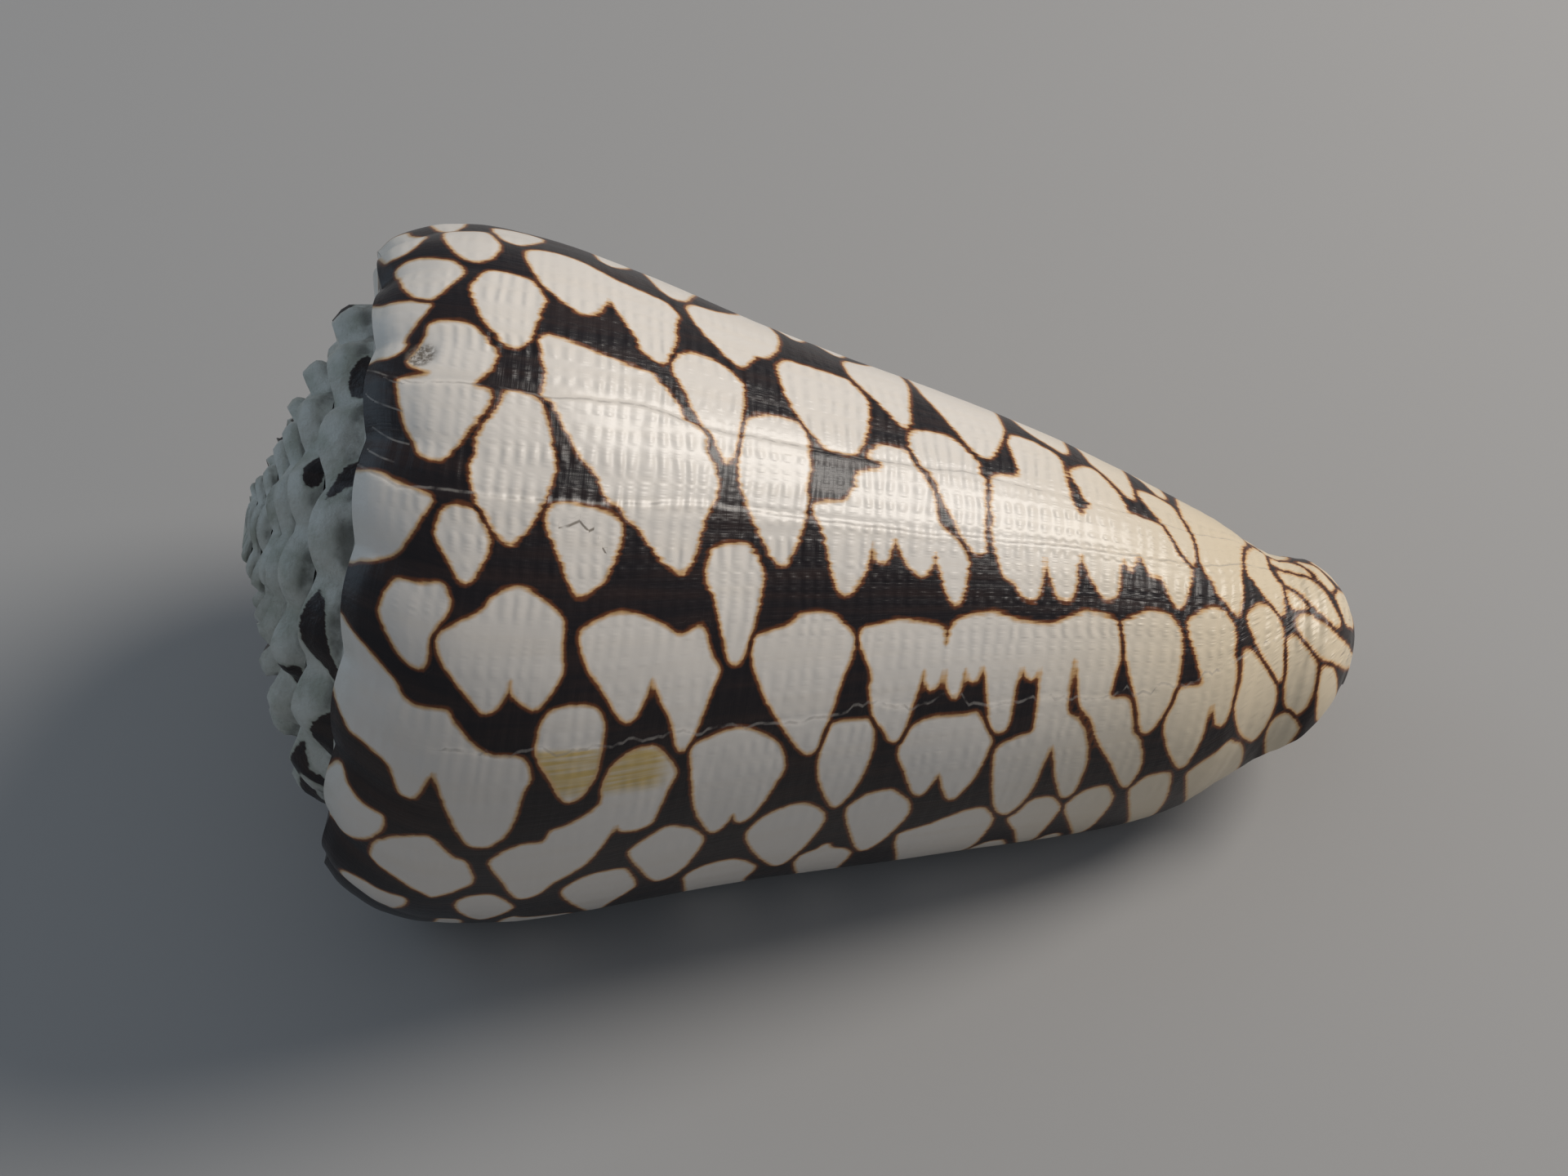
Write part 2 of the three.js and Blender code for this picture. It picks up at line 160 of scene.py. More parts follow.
# White patches of the side that the photograph shows. Each point is the place along the last turn
# in hundredths of its length and the angle about the axis in degrees. A third value marks a sharp notch.
WHITE_PATCHES = [
    [(-0.5, -82), (2.2, -81), (2.6, -77), (3.5, -73), (4.1, -67.4), (3.8, -64.2), (3, -61.6), (2, -60.3),
     (1.1, -60.6), (0.4, -62.9)],
    [(4.6, -84), (5.5, -87), (7.2, -87), (7.9, -83), (7.7, -77), (7, -73.5), (6.2, -71.3), (5.5, -72.5),
     (4.8, -76)],
    [(5.8, -70), (7.6, -71), (9.5, -70), (10.6, -64.2), (10.9, -61), (10.2, -56.4), (8.6, -54.3),
     (7, -56.4), (5.8, -62.2), (5.6, -65.5)],
    [(10.5, -76), (13, -77.5), (15, -76), (15.1, -73), (14.4, -68.7), (13.2, -65.1), (12.4, -64.2),
     (11, -65.8), (10.4, -70), (10.1, -72.6)],
    [(20.3, -79.7), (20.4, -72.6), (20.6, -70.3), (21.3, -69), (22, -69), (23.2, -72.6), (23.7, -75.8),
     (24.1, -79.7), (23.9, -85), (22.5, -89), (21, -87), (20.4, -84)],
    [(13.1, -60.3), (13.7, -63.2), (15.9, -65), (18.9, -63.8), (22.1, -60.9), (26.1, -59.3),
     (27.3, -57.6), (28, -55.2), (27.7, -52.1), (27.4, -45.3), (26.6, -39.6), (25.9, -38.4), (24.1, -40.2),
     (23.7, -42.8), (22.1, -48), (21.1, -51.6, 1), (20.4, -48), (19.8, -46.1), (18.9, -45), (17.8, -45.4),
     (15.1, -49.6), (14, -53.8), (13.3, -57.7)],
    [(1.2, -56.7), (3.1, -57.7), (5.4, -55.8), (6.6, -54.5), (7.5, -50.9), (6.6, -47), (5.8, -44.5),
     (5, -43), (4.2, -43.2), (3.2, -45.1), (2.4, -48), (1.8, -51.9)],
    [(8.3, -46.7), (8.6, -48.3), (9.4, -51.6), (10.8, -52.3), (12.7, -51.9), (14, -50.6), (15.1, -46.7),
     (14.8, -43.5), (14.2, -37.7), (13.6, -34.8), (12.5, -33.6), (11.3, -34.4), (9.4, -39), (8.4, -44.8)],
    [(-0.5, -46), (1.1, -44.5), (3.5, -43.4), (4.7, -42.2), (4.9, -40.9), (3.2, -36.7), (2.6, -34.8),
     (2.9, -33.5), (2.4, -31.7), (1.5, -31.2), (0.7, -31.8), (-0.5, -33.1)],
    [(4.4, -35.1), (4.7, -37), (5.7, -37.9), (7.5, -37.8), (8.9, -36.7), (10.2, -33.5), (11.1, -31.2),
     (10.4, -28), (9.2, -25.2), (10.5, -24.6), (10.9, -22.8), (9.4, -18.3), (7.5, -13.2), (6.3, -12.3),
     (5, -13.2), (4.3, -15.2), (3.5, -17.6), (3, -21.5), (2.7, -25.1), (3, -26.3), (5.2, -26.8),
     (4.5, -27.6), (3.3, -29.5), (3.6, -31.5)],
    [(12, -24.5), (13.5, -25.2), (15, -24.5), (15.5, -22.8), (16, -21), (16.8, -15), (16.9, -12.4),
     (16, -6.8), (14.5, -2), (13.7, -1), (12.8, -1.6), (11.2, -4.8), (10.3, -6.8), (9.4, -12), (9.8, -14),
     (9.7, -16), (10.2, -18), (11.5, -22.3)],
    [(14.6, -36.4), (15.1, -37.7), (16.2, -37.9), (21.6, -36.2), (24.3, -35.7), (25.6, -34.8),
     (27.8, -30.4), (28.4, -28), (30, -26.6), (30.7, -25.3), (30.5, -23.2), (31.7, -18.8), (31.8, -15),
     (30.8, -9.6), (30.2, -3.2), (29.7, -1.2), (29, 0), (27, -2), (24.7, -6.4), (23.4, -8), (22.7, -9.6),
     (21.7, -10), (20.7, -13.6), (18.7, -16.8), (16.8, -22.5), (16.2, -24.3), (15.1, -25.4), (15.5, -28.6),
     (15.1, -31.2), (14.8, -33.8)],
    [(7.2, -2.8), (7.5, -4.4), (8.5, -5.8), (9.7, -5.8), (10.7, -4.8), (12, -0.8), (11.7, 1.6), (11, 4),
     (10.2, 5.6), (9.3, 5), (8.7, 3.2), (7.3, -0.4)],
    [(16.5, -5.6), (16.7, -7.2), (17.7, -8.4), (20, -8.6), (22.4, -8), (23.2, -6.8), (23.5, -4.8),
     (22.7, 0.8), (21.9, 3.2), (21, 5), (20, 5.6), (19.2, 4), (17.7, -1.2), (16.9, -3.6)],
    [(-0.5, -9), (0.3, -10.4), (2, -10), (3.3, -8.8), (5.3, -7.6), (6.7, -6.4), (6.3, -4.4), (4.8, 0.4),
     (3.7, 2.8), (2.3, 4), (1, 4.6), (-0.5, 4.4)],
    [(3.2, 10.8), (3.5, 8.4), (4.2, 6.4), (6, 6.4), (8, 6), (8.8, 7.6), (9.1, 9.6), (7.8, 14),
     (7.8, 16.4), (7.5, 18.8), (6.7, 19.2), (5.5, 18), (4.5, 16), (3.3, 12.4)],
    [(8.3, 15.2), (8.8, 12.8), (11.7, 9.2), (12.5, 7.2), (13.7, 5.6), (15.4, 5.2), (18, 7.6), (19.1, 9.6),
     (19.3, 14.4), (19.6, 17.2), (19, 20), (18.2, 22.4), (17.2, 23.8), (15.4, 21.6), (15, 19.4, 1),
     (14.7, 22), (14, 24), (13.2, 24.8), (12.3, 24), (9.7, 19.2)],
    [(20.5, 11.6), (21.4, 9.6), (23, 7.8), (25, 7.2), (27.7, 8.4), (29.3, 10), (30.2, 9.6), (30.8, 8.6),
     (31.7, 8.4), (32.8, 13.2), (33.8, 16), (33.3, 19.2), (32.5, 26.4), (31.8, 30.4), (31.3, 31.2),
     (30.7, 30), (29.7, 24.8), (28.7, 22), (27.7, 18, 1), (27.3, 20.8), (26.8, 24), (26, 25.6),
     (24.9, 24.4), (23, 19.6), (21.7, 16.8)],
    [(18, 28), (18.2, 25.6), (19, 23.6), (20.7, 22.6), (22.7, 22.8), (23.7, 24.8), (24, 28), (24, 32),
     (23.7, 36), (23, 38.8), (21.9, 40.4), (20.9, 39.6), (20, 36.8), (18.2, 31.6)],
    [(15.4, 53.6), (16.4, 51.2), (18, 49.4), (20, 48.8), (20.5, 46.4), (22, 45.2), (24.4, 41.6),
     (24.5, 37.6), (24.9, 34.4), (26, 31.5), (27.7, 30), (29.3, 30.4), (31.2, 35.2), (30.8, 38.4),
     (30.2, 44), (29.7, 47.2), (28.3, 48.4), (27, 48), (26.5, 46.6, 1), (26, 49.2), (24.5, 56),
     (21.7, 61.6), (20.7, 64.8), (19.4, 66.4), (18.2, 65.2), (16.5, 58.4), (15.7, 55.6)],
    [(-0.5, 14), (1.3, 16.4), (4.7, 21.6), (5.8, 24), (7.3, 25), (9.7, 24.8), (10.7, 26.8), (13.7, 31.2),
     (17, 31.6), (18, 35.2), (17.5, 38.4), (17.2, 42.4), (16.7, 46.4), (15.7, 49.2), (14.4, 50.2),
     (13, 49.2), (11, 43.2), (9.8, 37.6), (9.4, 35.6, 1), (8.9, 37.2), (8, 40.8), (7, 41.4), (6.2, 40.4),
     (5.3, 36), (2.7, 33.2), (1.5, 32), (-0.5, 25)],
    [(0.7, 41.2), (2, 44), (3.7, 46), (5.3, 46.4), (5.6, 48.8), (5, 51.2), (3.8, 54.4), (2.3, 56.4),
     (0.7, 57.6), (-0.5, 57.6), (-0.5, 48)],
    [(4.3, 57.6), (4.8, 53.6), (5.8, 51.2), (7.3, 49.6), (9.7, 48.4), (12, 52.4), (13.4, 54),
     (14.2, 58.8), (13.5, 61.6), (10.8, 65.4), (9.7, 64.4), (6, 60.8), (4.8, 59.6)],
    [(1.9, 69.2), (2.5, 66.8), (4.3, 66.4), (6.3, 67.2), (8.2, 67.4), (8.3, 70.4), (7.7, 73.2),
     (6.7, 77.2), (6.2, 75.6), (3.7, 74), (2.5, 71.6)],
    [(12.9, 68.8), (13.2, 66), (14.4, 64.4), (16.4, 64.2), (18.4, 69.2), (18, 72), (17, 75.2),
     (15.7, 78.8), (14.9, 78), (13.4, 72)],
    [(11.2, 82), (11.5, 79), (13, 78.4), (13.7, 81), (13.8, 87), (13.5, 93), (12.4, 96), (11.4, 93),
     (11.1, 88)],
    [(17.4, 84), (17.7, 79.2), (18.7, 76.4), (19.7, 78.8), (23.4, 81.6), (24.6, 85), (24.2, 89), (22, 92),
     (20, 95), (18.8, 94), (17.7, 89)],
    [(22.7, 66.4), (23, 63.6), (24, 61.2), (25.4, 59.6), (27.7, 59.2), (28.7, 60.8), (29.8, 67.2),
     (29.3, 70.4), (27.8, 77.2), (27.3, 86), (26.2, 88), (25.9, 84), (24.7, 76)],
    [(25.4, -78), (25.4, -73.9), (26.1, -65.7), (26.8, -63.4), (27.7, -62.3), (28.5, -63.4),
     (29.3, -65.7), (30.7, -78), (31, -83.4), (30.4, -94.3), (29.3, -96), (27.8, -94.3), (25.9, -84.8)],
    [(28.8, -60.3), (29.8, -64.4), (31.2, -65.7), (32.7, -67.8), (33.8, -70.5), (34.6, -73.9),
     (35.2, -80), (35.8, -90), (38, -92), (38.3, -71.9), (38.5, -67.8), (38.2, -60.3), (37.2, -54.2),
     (36.3, -51.8), (35.5, -51.1), (34.6, -47), (33.8, -45.8), (33.1, -46), (31.1, -50.1), (29.5, -54.9)],
    [(37.5, -49.4), (37.8, -52.1), (38.6, -54.5), (40, -55.3), (44.3, -56.2), (45.3, -54.9),
     (46.6, -50.1), (46.7, -46.7), (46.3, -38.5), (45.3, -32.4), (44.6, -30.7), (43.2, -30.4), (41.7, -31),
     (40, -34.8), (38.2, -41.3), (37.8, -45.3)],
    [(27.1, -37.9), (27.4, -41.3), (28.3, -43.6), (29.5, -44.7), (31.5, -44.7), (33.8, -41.3),
     (34.1, -38.5), (33.8, -31), (33.4, -24.2), (32.9, -22.2), (32.2, -21.5), (31.1, -25.3), (29.5, -29),
     (28.1, -34.4)],
    [(33.8, -26), (34.2, -31), (34.8, -33.1), (35.8, -34.4), (37.8, -35.5), (39.5, -35.1), (40.5, -31),
     (40.3, -28.3), (40.6, -25.6), (40.3, -19.5), (40.5, -17.4), (40, -11.2), (39, -5.2), (38.4, -4),
     (37.5, -4.8), (35.7, -10), (34.2, -16), (33.6, -21)],
    [(40.7, -16.1), (41.2, -17.8), (42.6, -18.8), (43.9, -19.8), (44.9, -23.9), (45, -26.3), (46, -28),
     (47.3, -29.3), (47.4, -30.7), (46.1, -31.7), (46.6, -33.8), (47.3, -35.8), (48.5, -36.6),
     (50.2, -36.4), (50.9, -33.4), (51.5, -31), (52.3, -28.5), (52.8, -25.8), (53.3, -19.8), (54.3, -17.8),
     (55.3, -15.8), (56.1, -13), (56.4, -10.5), (56, -3.2), (55.6, -1.5), (55, -1.4), (54.4, -3),
     (53.3, -9.5), (53, -12, 1), (52.8, -9), (52.3, -7.2), (51.5, -6.4), (50, -9.2), (49, -13.2, 1),
     (48.5, -8.8), (48, -7.6), (47.2, -8.4), (46.9, -11.2, 1), (46.5, -6.8), (46, -3.6), (45.2, -0.8),
     (44.4, -0.2), (43.5, -2), (42.4, -8.8), (41.7, -12.8)],
    [(44.9, -63.7), (45.4, -68.5), (46.6, -70.2), (47.7, -72.2), (48.5, -75.9), (49.1, -80), (49.8, -90),
     (51.8, -91), (51.8, -69.8), (51.5, -60.3), (51.1, -51.5), (50.7, -45), (50, -44), (49.4, -45),
     (47.4, -51.5), (45.4, -57.6)],
    [(50.4, -39.9), (50.5, -37.9), (51.3, -34), (52.8, -30), (53.3, -26.5), (54.8, -20), (55.5, -17),
     (56.3, -15), (57, -13.7), (57.7, -14), (58, -16), (57.8, -21.5), (58, -24.8), (57.9, -28),
     (58, -31.5), (58, -34.5), (57.5, -36), (57.6, -38.5), (57, -41), (55.4, -45.2), (54.3, -46),
     (53, -45.6), (51.7, -44.7), (50.7, -42.6)],
    [(39, -79.3), (39.7, -71.5), (40.5, -70.2), (41.2, -71.9), (42.2, -80), (42.6, -84.8), (42.3, -87.9),
     (41.4, -88.5), (40.5, -85.5)],
    [(43, -79.3), (44, -71.9), (44.7, -70.6), (45.4, -71.9), (46.4, -80), (46.8, -84.8), (46.7, -88.2),
     (45.4, -88.5), (44.3, -85.5)],
    [(31.3, 0), (31.5, -4), (32.3, -6), (34, -6.8), (35.3, -6.4), (36.7, -2), (36.5, 5.6), (35.8, 13.2),
     (35.2, 14.8), (34.3, 14), (33.2, 8), (32.2, 2.8)],
    [(36.4, 10.8), (36.7, 9.2), (39.4, 6.8), (40.7, 4.4), (42.4, 3.7), (44, 4.2), (45.9, 7.6), (46, 11.2),
     (45.2, 18.4), (44.4, 29.6), (44, 32), (43.4, 33), (42.5, 32), (41, 28.4), (38.5, 21.6), (36.8, 15.2)],
    [(51.4, 3.2), (49.7, 3.4), (48, 4.8), (46.7, 6), (46.4, 8.8), (48, 15.2), (48, 18.4), (49, 25.2),
     (50, 27.2), (50.7, 29.6), (51.4, 30.4), (52.1, 29.5), (52.4, 24), (52.9, 17), (53.1, 14, 1),
     (53.4, 16.8), (54, 18.2), (54.6, 17.2), (55.1, 13.6, 1), (55.4, 16.8), (56, 19.2), (56.6, 19.6),
     (57, 17), (57.1, 13, 1), (57.5, 15.2), (58.1, 15.9), (58.5, 15), (58.7, 12, 1), (59.2, 15), (60, 23),
     (60.5, 26.5), (61.3, 28.2), (62.1, 27.6), (62.4, 24.5), (62.4, 16), (62.7, 11.6, 1), (63.1, 13.4),
     (63.7, 14.6), (64.2, 13.6), (64.5, 11.4, 1), (64.6, 16), (64.9, 25.5), (64.7, 28), (63.6, 29),
     (61.9, 31.6), (61.6, 34.5), (62.2, 42.5), (63.1, 50.5), (63.8, 54.3), (64.7, 56.3), (65.5, 55.4),
     (66.6, 48), (66.9, 38.5), (67.2, 32.4, 1), (67.7, 35.5), (68.7, 43.5), (69.9, 50.4), (70.6, 51),
     (71.2, 48.5), (71.4, 39.5), (70.8, 31), (69.6, 25), (68.8, 23.6), (68.1, 21.8), (67.8, 15),
     (67.9, 8.8, 1), (68.4, 13), (69, 19.8), (70.6, 24.8), (71.9, 31.5), (73.8, 38.5), (75.5, 46.5),
     (76.3, 49.3), (76.9, 48.5), (77.3, 40), (76.3, 31.5), (75.4, 28.6), (75, 25), (74.2, 18.6),
     (73.2, 17.8), (72.2, 17.6), (72.2, 14), (72.6, 5), (72.4, 1), (71.5, -3.8), (69, -4.8), (67.8, -3.9),
     (65.7, -0.8), (64.4, 0.2), (61.6, 0), (60.4, -0.8), (59, -1), (57, 0.3), (55.3, 2.6), (54.8, 7.6, 1),
     (54.5, 4.5), (53.8, 3.4)],
    [(44.4, 34.4), (44.7, 27.2), (45.5, 25.6), (47.4, 25), (48.9, 25.6), (49.5, 32), (48.9, 40.8),
     (48.2, 44.8), (47.5, 47.4), (46.7, 47), (45, 40)],
    [(32.2, 32.4), (32.3, 30), (33.7, 28.4), (35.3, 27), (37.4, 27), (40.4, 30.4), (41.4, 36),
     (40.9, 39.2), (39.7, 46.4), (38.7, 49.4), (37.9, 49.4), (37.4, 47.2, 1), (36.7, 50.8), (36, 51.8),
     (35.2, 50.8), (33.5, 44)],
    [(28.2, 54.8), (28.7, 52.4), (31.2, 48.4), (33, 49), (34.3, 50.8), (35.2, 54), (34.3, 61.6),
     (33.5, 65.2), (32.3, 67.4), (31.2, 66.4), (29.5, 60)],
    [(39.2, 54.4), (39.5, 51.2), (40.7, 48), (42.7, 45.8), (44.4, 45.8), (45.7, 47.6), (46.6, 51.2),
     (45.7, 60), (44.2, 69.2), (43.4, 70.2), (42.5, 68), (40.5, 60.8)],
    [(34.4, 68.8), (34.7, 66), (36, 63.6), (37.7, 62.6), (39.4, 63.2), (41.4, 68.8), (41, 77.6),
     (41.3, 83.2), (41.9, 100), (35.9, 100), (35.5, 84), (34.7, 72.8)],
    [(45.2, 68.8), (45.5, 65.6), (46.7, 63.6), (47.3, 61.6), (48, 61.6), (48.5, 63.6), (49.9, 65.2),
     (50.7, 68.8), (50.5, 80), (51.3, 100), (47, 100), (46.5, 83.2), (45.4, 72.8)],
    [(51.4, 43.4), (49.9, 44.4), (48.7, 47.2), (48.4, 49.6), (49.4, 56.8), (50.9, 65.6), (51.7, 67.6),
     (52.5, 66.5), (53.7, 60), (54.7, 53), (54.8, 50), (54.3, 47), (52.5, 43.4)],
    [(61.1, -52), (61.5, -56), (62.2, -57.8), (63.5, -58.5), (64.8, -57.8), (66, -56.5), (66.8, -54),
     (66.9, -47), (67.1, -38.5), (67.3, -35), (68, -32.5), (68.5, -35), (69, -36.8), (68.5, -39.5),
     (67.5, -47), (67.6, -50), (69.3, -55), (70.2, -56.3), (71, -55), (72.3, -49), (73.2, -42.5),
     (73.4, -40), (75, -39.8), (76, -40), (76.8, -39), (77.8, -34.5), (78.6, -29.5), (79.8, -25),
     (79.7, -22), (79, -13), (78.6, -10.8), (78, -10.5), (77.3, -13), (76.6, -16.5), (76.2, -19),
     (75.7, -18.3), (74.9, -19), (74.5, -21.5), (73.9, -24.2, 1), (73.6, -22), (73.3, -19), (72.8, -18.5),
     (72.2, -21.4, 1), (71.9, -18), (71.9, -14), (71.6, -10.5), (71, -8.6), (70.2, -8.8), (68.8, -13.5),
     (68.2, -16.5), (67.8, -19.2, 1), (67.5, -17), (67.3, -9.5), (66.9, -7), (66.2, -6.5), (65.3, -7.3),
     (64.4, -13), (64, -16.2, 1), (63.9, -11), (63.7, -8), (63.2, -5.4), (62.4, -5), (61.6, -6), (61, -8),
     (60, -9.5), (59.3, -12.5), (58.6, -18), (58.5, -21), (58.7, -24), (58.4, -27), (58.6, -31),
     (58.6, -35), (59, -36.8), (60, -38), (61.2, -38.8), (61.7, -40.5), (61.6, -43), (61.2, -49)],
    [(52.8, -80), (52.6, -72), (52.8, -65), (53.3, -60.5), (55.2, -51), (56, -47), (56.8, -44),
     (57.6, -42.3), (58.4, -42), (59.1, -43.2), (60.3, -50), (61.2, -58), (61.4, -68), (61.9, -80),
     (62.2, -86), (61.5, -92), (59, -97), (56, -96), (54, -90)],
    [(75.1, -51), (75.2, -54), (76, -56.5), (77.3, -57.3), (78.7, -56.5), (79.3, -53), (79.5, -49),
     (80.2, -41), (80.4, -33), (80.3, -29), (79.9, -26.5), (78.6, -30.5), (77.8, -36), (76.6, -43),
     (75.9, -46.5)],
    [(63.6, -80), (63.4, -72), (63.6, -68), (64.2, -64.5), (65, -62), (67, -58.5), (67.7, -58.6),
     (68.2, -61), (68.4, -66), (69.1, -78), (69.9, -88), (69.5, -93), (67.5, -96), (65.5, -93),
     (64.3, -87)],
    [(70.4, -80), (70.1, -74), (70.1, -67), (70.3, -60.5), (70.9, -57.5), (71.8, -54.5), (73.3, -48),
     (74, -46.8), (74.5, -49), (74.7, -60), (75.1, -71), (75.6, -77), (76.2, -89), (75.5, -94),
     (73.5, -97), (71.8, -93)],
    [(76.2, -80), (76.1, -74), (76.6, -69), (77.3, -61), (77.9, -58.8), (78.6, -59), (79, -62),
     (79.2, -73), (80, -85), (79.9, -90), (79, -94), (77.4, -92), (76.6, -86)],
    [(80.1, -60), (80, -55), (79.9, -50), (80.4, -45), (80.7, -35), (80.8, -30), (81.3, -25.5),
     (81.9, -23.5), (82.6, -18.5), (83.4, -16.5), (84.2, -13.5), (84.8, -12.3), (85.2, -13.5), (85.6, -24),
     (85.5, -29), (86, -39), (86.6, -49), (87.3, -54), (88, -64), (87.5, -70), (85.5, -75), (83, -76),
     (81, -71)],
    [(88.4, -58), (87.8, -54), (86.7, -44.5), (86.3, -34), (86.9, -30.5), (88.7, -24), (89.4, -21),
     (90.2, -19), (90.6, -21), (90.6, -31), (90.5, -36), (89.9, -40), (89.5, -45), (89.8, -55),
     (90.3, -66), (89.5, -70), (88.8, -65)],
    [(91.9, -17), (92.2, -21), (93, -23.5), (94, -21), (96.3, -15.5), (97.3, -13), (98.7, -12),
     (100.2, -10), (100.2, 2), (98.9, 3.5), (97.5, 1.5), (95.2, -0.5), (93.6, -6), (92.3, -12.5)],
    [(91.1, -35), (91.6, -35.5), (92.9, -29.5), (93.2, -26.5), (92.6, -25), (91.9, -24), (91.4, -26),
     (91.1, -30)],
    [(90.6, -47), (91.4, -49), (92.6, -48.5), (94, -46.5), (94.8, -41.5), (96.1, -31), (97, -24),
     (97, -20.5), (96.2, -19), (94.1, -26), (93.2, -31), (92.8, -34.5), (91.8, -37), (91, -39.5),
     (90.5, -43)],
    [(90.2, -60), (91.2, -62), (93.2, -62), (94.4, -56), (94.5, -49), (93.2, -50.3), (92, -51.6),
     (90.9, -51), (90, -52)],
    [(96.6, -42), (96.7, -36), (97.3, -29), (98, -24), (99, -27), (99.7, -33), (99.9, -45), (99.6, -56),
     (98.9, -62), (98.4, -56), (97.6, -50)],
    [(52, 33.5), (52.1, 30), (52.7, 27), (53.7, 25), (55, 24), (58, 23.3), (59, 22.9), (60.9, 29.3),
     (61, 32), (60.4, 40), (59.9, 43.5), (59.3, 46), (58.7, 48), (57.9, 46.5), (56.5, 39.2, 1), (56.2, 42),
     (55.8, 44.7), (55.2, 45.8), (54.4, 44.5), (53, 38)],
    [(54.5, 62), (54.9, 59.5), (57.2, 56.7), (60, 53), (61.5, 51.8), (62.5, 52.4), (63.3, 55), (63.9, 58),
     (63.9, 63), (63.5, 80), (62.9, 92), (62.7, 100), (57.5, 100), (56.7, 85), (55.5, 72), (54.9, 67)],
    [(65.4, 59), (66, 56.5), (67, 51), (68, 50.2), (69.2, 50.6), (70.5, 55.5), (70.4, 60), (70.2, 70),
     (70.3, 82), (70.1, 85.5), (69.2, 85), (68, 75), (66.9, 66.5)],
    [(63.9, 82), (64.2, 77), (64.9, 73.8), (66, 73.4), (66.8, 75), (67.8, 83), (68.2, 88), (68, 97),
     (64, 97)],
    [(70.9, 56), (71.2, 52.5), (71.8, 50), (72.8, 48.2), (73.8, 47.8), (74.8, 48.8), (75.8, 55),
     (75.7, 66), (75.6, 78), (75.3, 82.5), (74.8, 84), (73.8, 75), (72.3, 65)],
    [(70.9, 80), (71.4, 75.5), (72.2, 74.8), (72.9, 78), (73.3, 83), (73.3, 94), (70.9, 94)],
    [(72.3, -1.5), (72.4, -3.5), (73.2, -4.8), (75, -7.8), (76.3, -8.1), (77.4, -7.2), (78.7, -3),
     (79, 5), (78.9, 14.5), (78.2, 22), (77.2, 28.2), (76.5, 29), (75.9, 27.5), (75.1, 20.5), (73.9, 12.5),
     (72.8, 4.5)],
    [(79.3, -5), (79.6, -8), (80.6, -10.3), (81.6, -12.8), (82.6, -13.5), (83.6, -12.3), (84.7, -7),
     (84.8, 1), (85.3, 8), (85.4, 21), (85.1, 27.8), (84.5, 28.3), (84, 27), (83.3, 20.4, 1), (83, 23),
     (83, 33), (82.4, 42), (81.9, 44.3), (81.4, 43.5), (79.6, 35.5), (78.4, 26.5), (78.9, 19), (79, 15.5),
     (79.7, 14), (81.5, 13), (81.3, 10), (80.4, 3.5)],
    [(86, -12), (86.5, -16.5), (87.2, -19.5), (88.3, -21.5), (89.3, -19.8), (90.3, -13.5), (90.7, -4),
     (91.1, 5), (91.2, 9), (90.9, 12), (90.4, 11.5), (89.2, 6), (87.4, -2.5)],
    [(85.8, 1.5), (86, 0), (86.8, -0.2), (88.3, 4.5), (89.8, 10.5), (90.7, 17), (90.9, 26), (90.5, 36),
     (90.2, 39.5), (89.8, 41.2), (89.2, 40), (87.7, 35), (86.6, 28.5), (85.8, 20.5), (86, 11.5)],
    [(90.9, -5), (91.2, -8.5), (91.6, -10.5), (92.2, -9.5), (93.4, -4), (94.6, 3), (94.8, 13), (94.6, 22),
     (93.9, 27.5), (93.3, 26.5), (92.1, 23), (91.5, 14)],
    [(95, 5), (95.3, 2.5), (96, 1.8), (96.8, 3.5), (97.9, 11), (98.7, 19), (99, 24), (98.6, 30),
     (97.7, 33), (96.8, 32), (95.9, 24), (95.2, 13)],
    [(91.1, 35), (91.3, 31.5), (91.8, 28.5), (92.5, 27), (93.2, 28), (94.4, 33), (94.7, 36.5), (94.1, 51),
     (93.6, 56), (93, 57), (91.4, 42.5)],
    [(93.4, -60), (93.6, -66), (94.8, -64), (95.9, -56), (96.8, -47.5), (96.2, -41), (95.2, -45),
     (94.2, -53)],
    [(95.2, -66), (95.4, -72), (96.8, -70), (98, -62.5), (97.4, -54.5), (96.3, -60)],
    [(97.2, -72), (98.2, -76), (99.3, -72), (99.9, -63), (99.4, -60), (98.6, -64)],
    [(82.9, 49), (83.1, 46), (83.8, 43.5), (84.7, 41.5), (86.3, 36.3), (87.1, 37), (88.6, 42), (89.8, 54),
     (90.1, 64), (89.6, 70), (88.9, 76), (86.2, 77), (84.5, 63.5)],
    [(77.1, 52), (77.4, 49), (78, 46.5), (78.9, 45), (80.1, 45), (81, 46.3), (81.9, 58), (82.3, 69),
     (82.6, 81), (82.3, 88), (80.6, 88), (79.6, 74), (78.3, 62.5)],
]


# Rows of patches on the side away from the photographer, laid out by rule.
FAR_PATCH_SEED = 7
FAR_ROW_FIRST_DEG = -104.0
FAR_ROW_STEP_DEG = 20.5
FAR_ROWS = 8
FAR_WIDTHS = (5.5, 10.5)
FAR_HEIGHTS = (23, 29)
FAR_GAPS = (0.3, 1.2)
TIP_ROW_STARTS = [89, 86.5, 82]
TIP_FROM = 84
TIP_WIDTH_GAIN = 0.6
FAR_PATCH_SHAPE = [
    (0, -0.5), (0.3, -0.46), (0.48, -0.25), (0.42, 0.05), (0.2, 0.36), (0, 0.5), (-0.2, 0.36), (-0.42, 0.05),
    (-0.48, -0.25), (-0.3, -0.46),
]

# Where two patches meet, a thin dark line stays between them: its half width and how fast it opens.
LINE_BETWEEN = 0.26
LINE_SLOPE = 0.7

